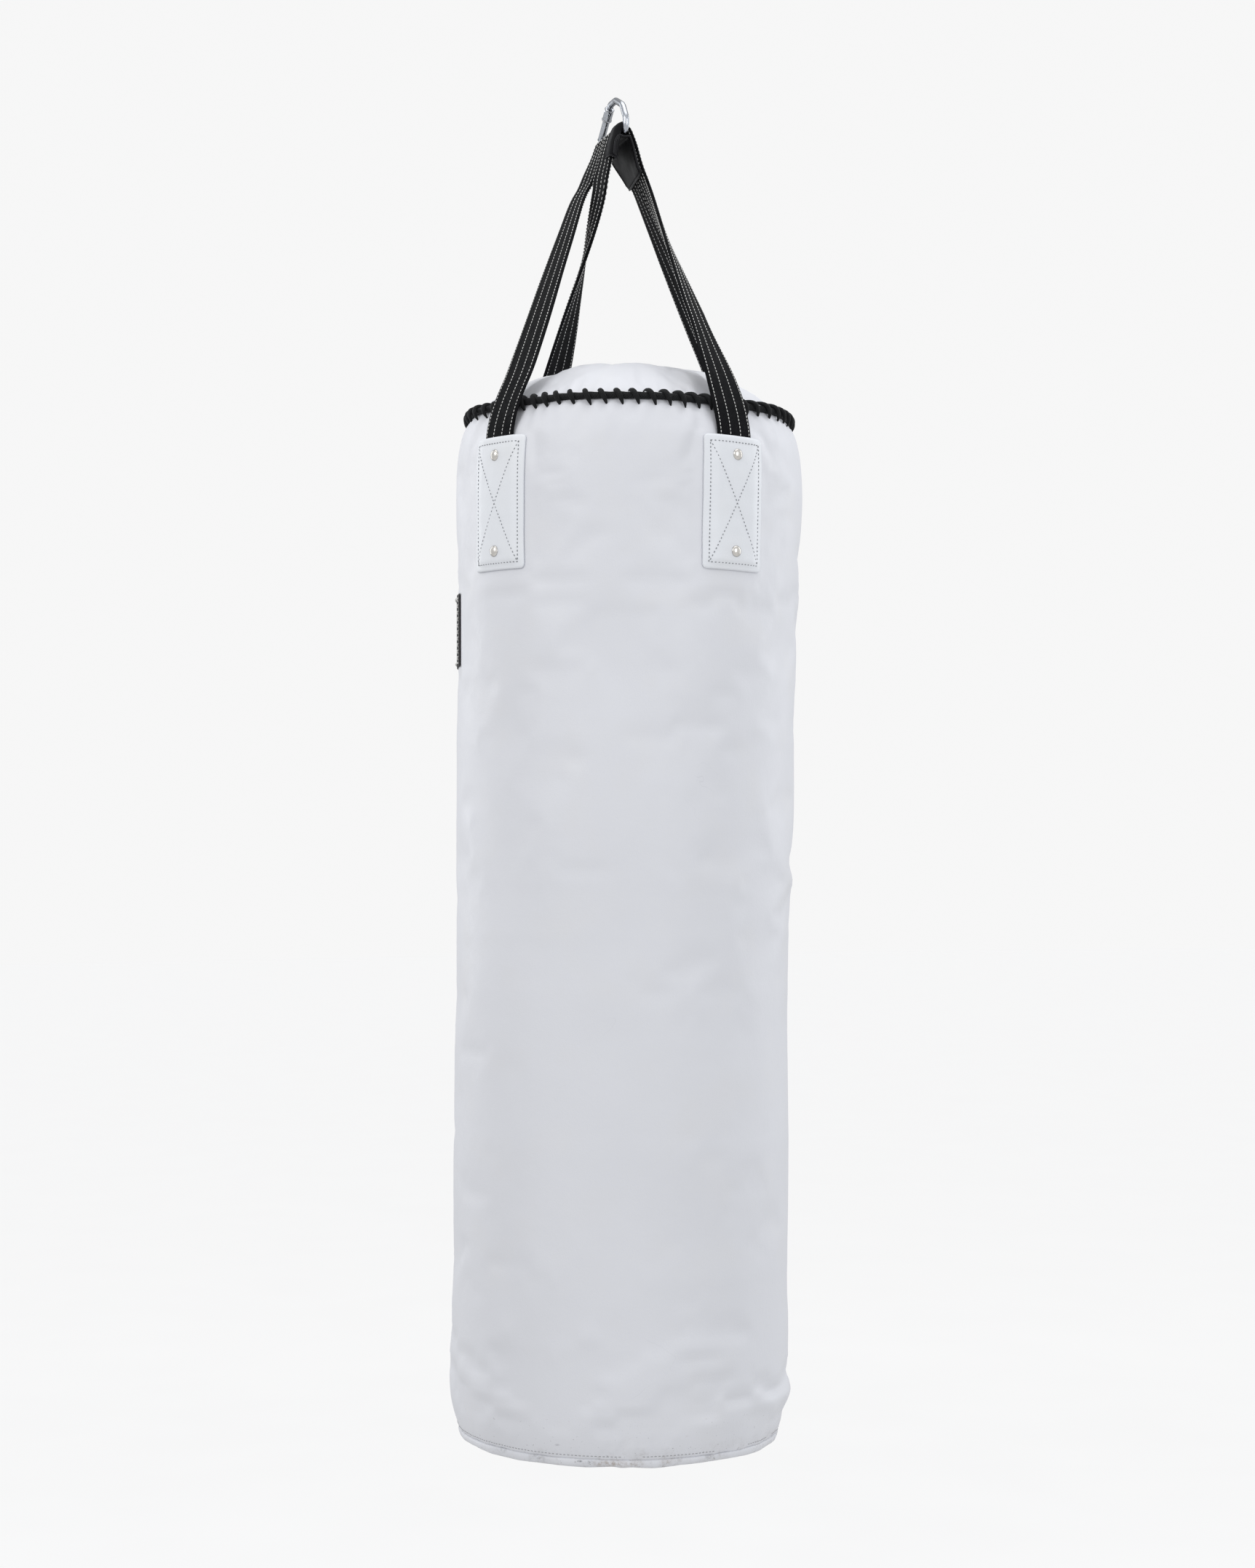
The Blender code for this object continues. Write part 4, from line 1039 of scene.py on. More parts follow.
def lace_frame(angle):
    """Directions at the rim: out of the lacing, up across it, and round the bag."""
    turn = math.radians(angle)
    radial = Vector((math.sin(turn), -math.cos(turn), 0))
    onward = Vector((math.cos(turn), math.sin(turn), 0))
    out = radial * math.cos(LACE_TILT) + UP * math.sin(LACE_TILT)
    across = UP * math.cos(LACE_TILT) - radial * math.sin(LACE_TILT)
    return out, across, onward


def core_cord():
    """Cord that lies round the rim under the whip lacing."""
    points, radii, normals = [], [], []
    count = HOLES * CORE_PER_HOLE
    for k in range(count):
        angle = k * 360 / count
        out, across, _ = lace_frame(angle)
        phase = math.tau * k / CORE_PER_HOLE
        lift = 0.0006 - 0.0004 * math.cos(phase)
        sway = 0.0005 * jitter(k * 0.21)
        points.append(BAG @ (rim_point(angle) + out * lift + across * sway))
        normals.append(BAG_TURN @ out)
        radii.append(CORE_R * (1 + 0.05 * math.cos(phase + 1)))
    batch = Batch()
    batch.tube(points, radii, 12, normals, closed=True)
    register(batch.object("rim_core_cord", [CORE_CORD]), "bag", "lace_black", "lace_core")


def whip_lacing():
    """A slanting loop over the core at each hole, joined to the next beneath the skin."""
    batch = Batch()
    for k in range(HOLES):
        angle = (k + 0.5) * 360 / HOLES + 0.25 * jitter(k * 1.7, 3)
        out, across, onward = lace_frame(angle)
        centre = rim_point(angle)
        lean = 0.0054 * (1 + 0.25 * jitter(k * 0.9, 0, 5))
        tall = 0.0110 * (1 + 0.10 * jitter(k * 1.3, 8))
        points, radii, normals = [], [], []
        for i in range(13):
            part = 1 - 2 * i / 12  # from 1 at the upper end to -1 at the lower
            foot = -0.0020 - (0.0036 if part > 0 else 0.0)
            arch = 1 - abs(part) ** (1.7 if part > 0 else 2.2)
            height = foot + (CORE_R + 0.0024 - foot) * arch
            points.append(BAG @ (centre + across * (tall * part) - onward * (lean * part)
                                 + out * height))
            normals.append(BAG_TURN @ out)
            radii.append(0.00300 * (1 - 0.76 * abs(part) ** 3.0))
        batch.tube(points, radii, 9, normals, flat=0.80)
        # the length that crosses back under the seam to the next hole
        next_angle = angle + 360 / HOLES
        out2, across2, onward2 = lace_frame(next_angle)
        start = points[-1]
        end = BAG @ (rim_point(next_angle) + across2 * tall - onward2 * lean - out2 * 0.0062)
        middle = BAG @ ((centre + rim_point(next_angle)) / 2 - out * 0.0058)
        sink = (BAG_TURN @ out) * 0.0012
        batch.tube([start, start.lerp(middle, 0.5) - sink, middle,
                    middle.lerp(end, 0.5) - sink, end],
                   [0.0009, 0.0014, 0.0014, 0.0014, 0.0009], 6, [BAG_TURN @ onward] * 5)
    register(batch.object("rim_whip_lacing", [WHIP_CORD]), "bag", "lace_black", "lace_cord")


core_cord()
whip_lacing()

# ------------------------------------------------------------------ straps
# centre line over the patch follows the wall at these z
ON_WALL_Z = (TAIL_Z, -0.500, -0.470, -0.440, -0.418, -0.402)
# then bends in over the rim: z, radius
OVER_RIM = [(-0.388, 0.1909), (-0.373, 0.1865), (-0.357, 0.1803), (-0.340, 0.1722),
            (-0.322, 0.1630)]
FLARE = {"fl": 0.0050, "bl": -0.0035}  # sideways push just below the saddle
WRAP_R = 0.192  # radius the strap's width wraps to on the bag
STRAP_STEP = 0.0036
STRAP_COLS = 17
STITCH_ROWS = (-0.425, -0.150, 0.150, 0.425)  # shares of the strap's width
STITCH_PITCH = 0.0041
STITCH_LEN = 0.0026
TACK_AT = {"bl": 0.395}  # share of the strap's length, by its left leg
TACK_STITCHES = 11


def spin(vector, degrees):
    return Matrix.Rotation(math.radians(degrees), 3, "Z") @ vector


def leg_section(side, down, radius=FOLD_R):
    """Place beside the bar, across and up, this far down a leg from the fold."""
    slope = math.radians(LEG_SLOPE[side])
    return (SIDE_SIGN[side] * (radius * math.cos(slope) + down * math.sin(slope)),
            radius * math.sin(slope) - FOLD_DROP - down * math.cos(slope))


def beside_bar(side, across, up, along):
    """Point near the bar; the sheet turns a little towards the saddle's hem."""
    hem_up = leg_section(side, SADDLE_LEN)[1]
    turn = HEM_TURN[side] * ease(0.006, -hem_up, -up)
    return BAR + spin(RIGHT * across + ALONG * along, turn) + Vector((0, 0, up))


def leg_controls(leg, along):
    """Control points from the leg's tail on the bag up to the fold."""
    angle = LEG_ANGLE[leg]
    side = leg[1]

    def down(length):
        return beside_bar(side, *leg_section(side, length), along)

    points = [on_bag(angle, float(wall_r(z)) + 0.0002 + STRAP_T / 2, z) for z in ON_WALL_Z]
    points += [on_bag(angle, radius, z) for z, radius in OVER_RIM]
    rim = points[-1]
    below = down(SADDLE_LEN + 0.020) + SIDE_SIGN[side] * RIGHT * FLARE.get(leg, 0.0)
    points += [rim.lerp(below, part) for part in (0.2, 0.4, 0.6, 0.8)]
    points += [below, down(SADDLE_LEN + 0.004)]
    points += [down(SADDLE_LEN * part) for part in (0.75, 0.5, 0.25, 0.0)]
    return points


def strap_path(left, right, along):
    """Stations along a strap: centre, width direction, normal, width, wrap, length so far."""
    up, down = (resample(cut_corners(leg_controls(leg, along), 4), STRAP_STEP)
                for leg in (left, right))
    down.reverse()
    arc = []
    start, end = -(90 - LEG_SLOPE["l"]), 90 - LEG_SLOPE["r"]
    for k in range(1, 12):
        turn = math.radians(start + (end - start) * k / 12)
        arc.append(BAR + Vector((0, 0, -FOLD_DROP)) + ALONG * along
                   + RIGHT * FOLD_R * math.sin(turn) + Vector((0, 0, FOLD_R * math.cos(turn))))
    points = up + arc + down
    foot = {"l": 180 + LEG_ANGLE[left], "r": LEG_ANGLE[right]}
    last = len(points) - 1
    stations = []
    length = 0.0
    for i, point in enumerate(points):
        tangent = (points[min(i + 2, last)] - points[max(i - 2, 0)]).normalized()
        side = "l" if i < len(up) + len(arc) / 2 else "r"
        on_fold = len(up) <= i < len(up) + len(arc)
        depth = -point.z
        hem = HEM_TURN[side] * ease(0.045, 0.088, depth)
        full = turn_from(foot[side], 90 + HOOK_YAW_DEG)
        if side == "l":
            twist = ease(0.088, 0.335, depth)
            if left == "bl":
                twist = 0.4 * twist + 0.6 * min(1.0, max(0.0, (depth - 0.088) / 0.277))
        else:
            twist = (0.55 * min(1.0, max(0.0, (depth - 0.088) / 0.160))
                     + 0.45 * ease(0.248, 0.370, depth))
        wide = spin(ALONG, 0.0 if on_fold else hem + (full - hem) * twist)
        wide = (wide - wide.dot(tangent) * tangent).normalized()
        growth = 0 if on_fold else ease(0.10, 0.17, depth)
        width = STRAP_W_TOP + (STRAP_W - STRAP_W_TOP) * growth
        if i:
            length += (point - points[i - 1]).length
        stations.append((point, wide, tangent.cross(wide), width,
                         ease(0.350, 0.395, depth), length))
    return stations


def strap(name, left, right, along, node):
    """One strap: up the left leg, over the bar and down the right leg."""
    path = strap_path(left, right, along)
    mid = np.zeros((len(path), STRAP_COLS, 3))
    normals = np.zeros_like(mid)
    uv = np.zeros((len(path), STRAP_COLS, 2))
    for i, (point, wide, normal, width, wrap, length) in enumerate(path):
        curl = 0.0011 * jitter(length * 9, along * 40) * (1 - wrap)
        for j in range(STRAP_COLS):
            part = j / (STRAP_COLS - 1) * 2 - 1
            part = math.copysign(abs(part) ** 0.92, part)
            across = part * width / 2
            sink = wrap * across * across / (2 * WRAP_R) + curl * part * part
            mid[i, j] = point + wide * across - normal * sink
            normals[i, j] = (normal + wide * (wrap * across / WRAP_R)).normalized()
            uv[i, j] = (across, length)

    def sew(batch):
        """Four lengthwise rows of contrast stitching on both faces, and the cross tack."""
        centres, wides, outs, widths, wraps, lengths = (np.array(col) for col in zip(*path))
        total = lengths[-1]

        def at(distance, share):
            """Point and normal at a distance along and a share of the width across."""
            centre, wide, out = (
                np.array([np.interp(distance, lengths, values[:, k]) for k in range(3)])
                for values in (centres, wides, outs))
            across = share * np.interp(distance, lengths, widths)
            wrap = np.interp(distance, lengths, wraps)
            normal = out + wide * (wrap * across / WRAP_R)
            normal = normal / np.linalg.norm(normal)
            return centre + wide * across - out * (wrap * across * across / (2 * WRAP_R)), normal

        def both_faces(start, start_normal, end, end_normal, radius, lift):
            for face in (1, -1):
                batch.stitch(start + face * start_normal * STRAP_T / 2,
                             end + face * end_normal * STRAP_T / 2,
                             face * start_normal, radius, lift)

        distance = 0.118
        while distance < total - 0.120:
            for row, share in enumerate(STITCH_ROWS):
                offset = (row * 0.37 % 1) * 0.002
                start, start_normal = at(distance + offset, share)
                end, end_normal = at(distance + offset + STITCH_LEN, share)
                normal = (start_normal + end_normal) / 2
                both_faces(start, normal, end, normal, radius=0.00048, lift=0.0002)
            distance += STITCH_PITCH
        # a short tack across the strap, where its doubled end stops
        if left in TACK_AT:
            for k in range(TACK_STITCHES):
                share = -0.46 + 0.92 * k / TACK_STITCHES
                start = at(TACK_AT[left] * total, share)
                end = at(TACK_AT[left] * total, share + 0.065)
                both_faces(*start, *end, radius=0.00032, lift=0.0001)

    ob = thick_sheet(name, mid, normals, STRAP_T, uv, [WEBBING, WHITE_THREAD], sew)
    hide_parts(node)
    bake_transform(ob)


STRAP_OFFSET = STRAP_W_TOP / 2 + 0.0005  # the straps lie side by side on the bar
strap("webbing_bl_fr", "bl", "fr", -STRAP_OFFSET, "strap_bl_fr")
strap("webbing_fl_br", "fl", "br", STRAP_OFFSET, "strap_fl_br")

# ------------------------------------------------------------------ saddle and cuff
SADDLE_T = 0.0019
SADDLE_INSET = 0.0044  # the saddle lies this far inside the straps' centre line
SADDLE_DIP = WIRE_R + 0.0017
SADDLE_STEP = 0.0022
SADDLE_COLS = 25
SADDLE_SAMPLES = {"l": 9, "r": 14}
# cuff section: along the bar, height off the fold; its first five points are the rounded turn
CUFF = [
    (-0.0385, -0.0042), (-0.0402, -0.0040), (-0.0422, -0.0030), (-0.0432, -0.0010),
    (-0.0431, 0.0012), (-0.0420, 0.0026), (-0.0400, 0.0033), (-0.0360, 0.0034),
    (-0.0320, 0.0033), (-0.0290, 0.0032),
]
CUFF_TURN = 5
CUFF_EDGE = -0.0431


def saddle_side(side):
    distances = np.linspace(0.0045, SADDLE_LEN * SADDLE_REACH[side], SADDLE_SAMPLES[side])
    return [leg_section(side, down, FOLD_R - SADDLE_INSET) for down in distances]


def saddle():
    """Leather sheet between the bar and the straps."""
    floor = [(-0.0030, -SADDLE_DIP - 0.0001), (0.0, -SADDLE_DIP - 0.0003),
             (0.0030, -SADDLE_DIP - 0.0001)]
    outline = saddle_side("l")[::-1] + floor + saddle_side("r")
    line = resample(cut_corners([Vector((x, z, 0)) for x, z in outline], 2), SADDLE_STEP)
    rows, cols = len(line), SADDLE_COLS
    mid = np.zeros((rows, cols, 3))
    uv = np.zeros((rows, cols, 2))
    for i, point in enumerate(line):
        for j in range(cols):
            part = j / (cols - 1) * 2 - 1
            edge = max(0.0, abs(part) - 0.86) / 0.14
            end = min(i, rows - 1 - i)
            # the left side's near edge reaches further along the bar and outwards
            reach = 0.0065 * ease(0.3, 1.0, -part) * ease(0.002, 0.008, -point.x)
            place = beside_bar("l" if point.x < 0 else "r", point.x, point.y,
                               SADDLE_HALF * part - reach)
            place = place - RIGHT * (0.0050 * ease(0.90, 1.0, -part)
                                     * ease(0.003, 0.009, -point.x))
            corner = 0.0030 * edge ** 2 * max(0.0, 1 - end / 3.0)
            mid[i, j] = place + Vector((0, 0, corner))
            uv[i, j] = (SADDLE_HALF * part, i * SADDLE_STEP)
    normals = grid_normals(mid)

    def trim(batch):
        """Rolled edge and tonal stitching inside it, on the side away from the straps."""
        side = -1 if normals[rows // 2, cols // 2][2] > 0 else 1
        border = ([(i, 0) for i in range(rows)] + [(rows - 1, j) for j in range(1, cols)]
                  + [(i, cols - 1) for i in range(rows - 2, -1, -1)]
                  + [(0, j) for j in range(cols - 2, 0, -1)])
        batch.tube([mid[at] for at in border], 0.00125, 8, [normals[at] for at in border],
                   slot=1, closed=True)
        pairs = [((i, j), (i + 1, j)) for j in (1, cols - 2) for i in range(1, rows - 2)]
        pairs += [((i, j), (i, j + 1)) for i in (1, rows - 2) for j in range(1, cols - 2)]
        for here, there in pairs:
            out = normals[here] * side
            start, end = mid[here], mid[here] * 0.25 + mid[there] * 0.75
            batch.stitch(start + out * SADDLE_T / 2, end + out * SADDLE_T / 2, out,
                         radius=0.00042, lift=0.0001, slot=2)

    ob = thick_sheet("saddle_leather_wrap", mid, normals, SADDLE_T, uv,
                     [SADDLE_LEATHER, HIGHLIT_EDGE_LEATHER, HIGHLIT_EDGE_LEATHER], trim)
    register(ob, "sling", "leather_black", "saddle")


def cuff():
    """Strip of the saddle turned over the front edge of the left legs."""
    slope = math.radians(LEG_SLOPE["l"])
    # rail stations: across, up, and the outward direction across and up
    rail = [(FOLD_R * math.sin(turn), FOLD_R * math.cos(turn) - FOLD_DROP,
             math.sin(turn), math.cos(turn))
            for turn in np.linspace(math.radians(14), -(math.pi / 2 - slope), 9)]
    rail += [(*leg_section("l", down), -math.cos(slope), math.sin(slope))
             for down in np.linspace(0.0025, SADDLE_LEN * SADDLE_REACH["l"] + 0.0015, 13)]
    rows, cols = len(rail), len(CUFF)
    mid = np.zeros((rows, cols, 3))
    uv = np.zeros((rows, cols, 2))
    for i, (across, up, out_across, out_up) in enumerate(rail):
        lip = 1 + 0.10 * jitter(i * 0.4)
        narrow = 1 - 0.45 * ease(3.0, 0.0, i)
        for j, (along, height) in enumerate(CUFF):
            place = along if j < CUFF_TURN else CUFF_EDGE + (along - CUFF_EDGE) * narrow
            mid[i, j] = beside_bar("l", across + out_across * height * lip,
                                   up + out_up * height * lip, place)
            uv[i, j] = (along, i * 0.0025)
    normals = grid_normals(mid)

    def trim(batch):
        """Rolled lip along the free edge and the hem."""
        edge = ([(i, cols - 1) for i in range(rows)]
                + [(rows - 1, j) for j in range(cols - 2, -1, -1)])
        batch.tube([mid[at] for at in edge], 0.0010, 8, [normals[at] for at in edge], slot=1)

    ob = thick_sheet("saddle_leather_cuff", mid, normals, 0.0015, uv,
                     [SADDLE_LEATHER, HIGHLIT_EDGE_LEATHER], trim)
    register(ob, "sling", "leather_black")


saddle()
cuff()

# ------------------------------------------------------------------ patches
PATCH_CORNER = 0.005
PATCH_HEM = 0.007  # stitching this far inside the edge
PATCH_PITCH = 0.0042
PATCH_STITCH = 0.0018


def patch_point(leg_angle, across, z, extra=0.0):
    """Point on a patch's middle surface, which rises where it covers the strap."""
    over = ((1 - smoothstep(0.0212, 0.0388, np.abs(across)))
            * (1 - smoothstep(0.0030, 0.0110, TAIL_Z - z)))
    off = 0.0005 + PATCH_T / 2 + (STRAP_T + 0.0001) * over + extra
    return around(leg_angle + np.degrees(across / wall_r(z)), wall_r(z) + off, z)


def anchor_patch(leg, angle):
    """Leather patch over a strap's tail, stitched round its edge and corner to corner."""
    half = PATCH_W / 2
    mid_z = (PATCH_TOP + PATCH_BOTTOM) / 2
    half_h = (PATCH_TOP - PATCH_BOTTOM) / 2
    side, down = np.meshgrid(np.linspace(-1, 1, 41), np.linspace(0, 1, 61))
    across = side * half
    z = PATCH_TOP + (PATCH_BOTTOM - PATCH_TOP) * down
    # round the corners
    flat, flat_h = half - PATCH_CORNER, half_h - PATCH_CORNER
    past, past_z = np.abs(across) - flat, np.abs(z - mid_z) - flat_h
    reach = np.hypot(np.maximum(past, 0), np.maximum(past_z, 0))
    outside = (past > 0) & (past_z > 0) & (reach > PATCH_CORNER)
    pull = np.where(outside, PATCH_CORNER / np.maximum(reach, 1e-9), 1.0)
    across = np.where(pull < 1, np.sign(across) * (flat + past * pull), across)
    z = np.where(pull < 1, mid_z + np.sign(z - mid_z) * (flat_h + past_z * pull), z)
    # hand-cut edges, soft lumps and the groove the stitching pulls
    across = across + 0.0007 * perlin(down * 3, side * 2, angle) * np.abs(side)
    lumps = (0.0005 * perlin(across * 60, z * 60, angle * 0.37)
             * (1 - smoothstep(0.030, 0.039, np.abs(across))))
    inward = np.minimum(half - np.abs(across), half_h - np.abs(z - mid_z))
    groove = -0.00022 * np.exp(-((inward - PATCH_HEM) / 0.0012) ** 2)
    mid = patch_point(angle, across, z, lumps + groove)

    def sew(batch):
        right, top, bottom = half - PATCH_HEM, PATCH_TOP - PATCH_HEM, PATCH_BOTTOM + PATCH_HEM
        corners = [(-right, top), (right, top), (right, bottom), (-right, bottom)]
        diagonals = [(corners[0], corners[2]), (corners[1], corners[3])]
        for line in edges_of(corners) + diagonals:
            start, end = np.array(line)
            run = np.linalg.norm(end - start)
            count = int(round(run / PATCH_PITCH))
            for k in range(count):
                first = start + (end - start) * (k / count)
                second = first + (end - start) / run * PATCH_STITCH
                ends = [patch_point(angle, *place, PATCH_T / 2 - 0.0001)
                        for place in (first, second)]
                batch.stitch(*ends, out_dir(angle + math.degrees(first[0] / ROUND_R)),
                             radius=0.00052, lift=0.0001, sides=5)

    ob = thick_sheet("anchor_patch_" + leg, mid, grid_normals(mid), PATCH_T,
                     np.stack([across, z], -1), [PATCH_LEATHER, GREY_THREAD], sew)
    register(ob, "bag", "white_leather", "patch_" + leg)


for leg, angle in LEG_ANGLE.items():
    anchor_patch(leg, angle)

# ------------------------------------------------------------------ rivets
# turned outline from the crown to the end of the shank: radius, height above the patch
RIVET = [
    (0.0, 0.0032), (0.0014, 0.00315), (0.0028, 0.0029), (0.0041, 0.0024), (0.0052, 0.0017),
    (0.00590, 0.0009), (0.0061, 0.0003), (0.0050, -0.0003), (0.0021, -0.0004),
    (0.0021, -0.0085), (0.0, -0.0085),
]
RIVET_SIDES = 28


def rivet(batch, angle, z):
    base = Vector(patch_point(angle, 0.0, z, PATCH_T / 2))
    out = Vector(out_dir(angle))
    first = (UP - UP.dot(out) * out).normalized()
    second = out.cross(first)
    verts, faces = [], []
    for radius, height in RIVET:
        radius = max(radius, 1e-5)
        for k in range(RIVET_SIDES):
            turn = math.tau * k / RIVET_SIDES
            verts.append(base + out * height + first * (radius * math.cos(turn))
                         + second * (radius * math.sin(turn)))
    for i in range(len(RIVET) - 1):
        here, there = i * RIVET_SIDES, (i + 1) * RIVET_SIDES
        for k in range(RIVET_SIDES):
            m = (k + 1) % RIVET_SIDES
            faces.append((here + k, there + k, there + m, here + m))
    batch.add(verts, faces)


def rivet_caps():
    batch = Batch()
    names = []
    for leg, angle in LEG_ANGLE.items():
        for number, z in enumerate(RIVET_Z, 1):
            names.append(f"rivet_{leg}_{number}")
            rivet(batch, angle, z)
    register(batch.object("rivet_caps", [NICKEL]), "bag", "nickel", *names)


rivet_caps()


# ------------------------------------------------------------------ label
def side_label():
    """Plain black label on the left, with nothing on it but its border stitching."""
    side, down = np.meshgrid(np.linspace(-1, 1, 61), np.linspace(0, 1, 31))
    z = LABEL_TOP + (LABEL_BOTTOM - LABEL_TOP) * down
    angles = LABEL_ANGLE + np.degrees(side * LABEL_W / 2 / wall_r(z))
    mid = skin(angles, z, off=0.0011, wrinkled=False)

    def sew(batch):
        right = LABEL_W / 2 - 0.0080
        top, bottom = LABEL_TOP - 0.0045, LABEL_BOTTOM + 0.0045
        corners = [(-right, top), (right, top), (right, bottom), (-right, bottom)]
        for line in edges_of(corners):
            start, end = np.array(line)
            count = int(math.hypot(*(end - start)) / 0.0070)
            for k in range(count):
                places = np.array([start + (end - start) * (k + part) / count
                                   for part in (0.0, 0.52)])
                turns = LABEL_ANGLE + np.degrees(places[:, 0] / ROUND_R)
                ends = skin(turns, places[:, 1], off=0.0017, wrinkled=False)
                batch.stitch(*ends, out_dir(turns[0]), radius=0.00110, lift=0.0006, sides=5)

    uv = np.stack([side * LABEL_W / 2, z], -1)
    ob = thick_sheet("side_label", mid, out_dir(angles), 0.0012, uv,
                     [LABEL_LEATHER, WHITE_THREAD], sew)
    register(ob, "bag", "label_black", "label")


side_label()

# ------------------------------------------------------------------ hook wire
# hook plane: first axis along the bar, third up
HOOK_TURN = Matrix((ALONG, -RIGHT, UP)).transposed()
GATE_DIR = Vector((-math.cos(math.radians(GATE_SLOPE)), math.sin(math.radians(GATE_SLOPE))))
HINGE = Vector((BAR_HALF, BAR_Z + HINGE_UP))
TOP_Z = BAR_Z + HOOK_RISE
GATE_MEET = HINGE + GATE_DIR * ((TOP_Z - HINGE.y) / GATE_DIR.y)  # gate line at the top wire
# wire centre line: along the bar, z, bend radius
HOOK_PATH = [
    (HINGE.x, HINGE.y + 0.0026, 0), (HINGE.x, HINGE.y + 0.0014, 0),
    (HINGE.x, HINGE.y - 0.0042, 0), (HINGE.x, HINGE.y - 0.0060, 0),
    (BAR_HALF, BAR_Z, BEND_R - 0.0022), (-BAR_HALF, BAR_Z, BEND_R),
    (-BAR_HALF - 0.0005, BAR_Z + 0.0140, 0.012), (-0.0330, BAR_Z + 0.0310, 0.016),
    (-0.0100, TOP_Z, 0.012), (GATE_MEET.x, TOP_Z, 0.0045),
    (*(HINGE + GATE_DIR * 0.0432), 0), (*(HINGE + GATE_DIR * 0.0420), 0),
    (*(HINGE + GATE_DIR * 0.0362), 0),
]


def fillet(path, steps=10):
    """Rounds each corner of a flat path by its own bend radius."""
    points = [Vector(stop[:2]) for stop in path]
    line = [points[0]]
    for i in range(1, len(path) - 1):
        corner, radius = points[i], path[i][2]
        if radius <= 0:
            line.append(corner)
            continue
        back = (points[i - 1] - corner).normalized()
        ahead = (points[i + 1] - corner).normalized()
        half_angle = back.angle(ahead) / 2
        reach = radius / math.tan(half_angle)
        centre = corner + (back + ahead).normalized() * (radius / math.sin(half_angle))
        start, end = corner + back * reach - centre, corner + ahead * reach - centre
        sweep = start.angle_signed(end)
        for k in range(steps + 1):
            turn = -sweep * k / steps
            cos, sin = math.cos(turn), math.sin(turn)
            line.append(centre + Vector((start.x * cos - start.y * sin,
                                         start.x * sin + start.y * cos)))
    line.append(points[-1])
    return line


def hook_wire(sides=20):
    """Bent wire, pressed flat at both ends."""
    line = fillet(HOOK_PATH)
    count = len(line)
    verts, uvs = [], []
    length = 0.0
    for i, point in enumerate(line):
        tangent = (line[min(i + 1, count - 1)] - line[max(i - 1, 0)]).normalized()
        normal = Vector((-tangent.y, tangent.x))
        thick, wide = WIRE_R, WIRE_R  # half sizes across and in the hook's plane
        if i <= 2:
            thick, wide = 0.0013, 0.0020 if i == 0 else 0.0030
        if i >= count - 2:
            thick, wide = 0.0012, 0.0028
        if i:
            length += (point - line[i - 1]).length
        for k in range(sides):
            turn = math.tau * (k + 0.5) / sides
            reach = wide * math.cos(turn)
            verts.append(HOOK_TURN @ Vector((point.x + normal.x * reach, thick * math.sin(turn),
                                             point.y + normal.y * reach)))
            uvs.append((turn * WIRE_R, length))
    batch = Batch()
    batch.add(verts, grid_faces(count, sides, closed=True) + end_caps(count, sides), uvs)
    ob = batch.object("hook_wire", [ZINC])
    face_outwards(ob)
    register(ob, "hook", "zinc", "hook_body")


def gate_collar():
    """Two thin rings round the gate."""
    batch = Batch()
    side = Vector((-GATE_DIR.y, GATE_DIR.x))
    normal = HOOK_TURN @ Vector((GATE_DIR.x, 0, GATE_DIR.y))
    # distance from the hinge, ring radius, wire radius
    for distance, radius, wire in ((0.0268, 0.00500, 0.0009), (0.0405, 0.00490, 0.0008)):
        centre = HINGE + GATE_DIR * distance
        points = []
        for k in range(32):
            turn = math.tau * k / 32
            off = side * (radius * math.cos(turn))
            points.append(HOOK_TURN @ Vector((centre.x + off.x, radius * math.sin(turn),
                                              centre.y + off.y)))
        batch.tube(points, wire, 8, [normal] * 32, closed=True)
    register(batch.object("gate_collar", [SPRING_STEEL]), "gate", "zinc")


hook_wire()
gate_collar()

# ------------------------------------------------------------------ CAD nodes that stay
KEPT = {"hook_gate": ZINC, "gate_pin": ZINC, "latch_pin": ZINC, "gate_spring": SPRING_STEEL,
        "gate_plunger": SPRING_STEEL, "foam_liner": FOAM, "base_pad": FOAM, "top_pad": FOAM,
        "textile_fill": TEXTILE}
KEPT.update({f"washer_{leg}_{number}": NICKEL for leg in LEG_ANGLE for number in (1, 2)})
for node, material in KEPT.items():
    mesh = CAD[node].data
    mesh.materials.clear()
    mesh.materials.append(material)
    for polygon in mesh.polygons:
        polygon.material_index = 0

# ------------------------------------------------------------------ floor
FLOOR_Z = -2.30
FLOOR_SECTORS = 64
FLOOR_RINGS = (0.02, 1.5, 4.0, 12.0, 40.0)


def floor_material():
    """Pale floor; the camera sees its glow grow with distance to meet the backdrop."""
    mat = Material("pale_floor", (0.22, 0.22, 0.22), rough=0.9)
    blotch = mat.cloud(span=(0.3, 0.7), scale=3.0, detail=2.0)
    mat.set(Base_Color=mat.mix(blotch, (0.215, 0.215, 0.215), (0.225, 0.225, 0.225)),
            Specular_IOR_Level=0.05, Emission_Color=(1.0, 1.0, 1.0, 1), Emission_Strength=0.74)
    rays = mat.node("ShaderNodeLightPath")
    place = mat.node("ShaderNodeNewGeometry")
    reach = mat.node("ShaderNodeVectorMath", operation="LENGTH")
    mat.feed(reach.inputs[0], place.outputs["Position"])
    growth = mat.ramp(reach.outputs["Value"], span=(3.05, 5.5), to=(0.262, 0.311))
    base_glow = 0.46
    glow = mat.math("MULTIPLY_ADD", rays.outputs["Is Camera Ray"], growth, base_glow)
    mat.set(Emission_Strength=glow)
    mat.data.cycles.emission_sampling = "NONE"
    return mat.data


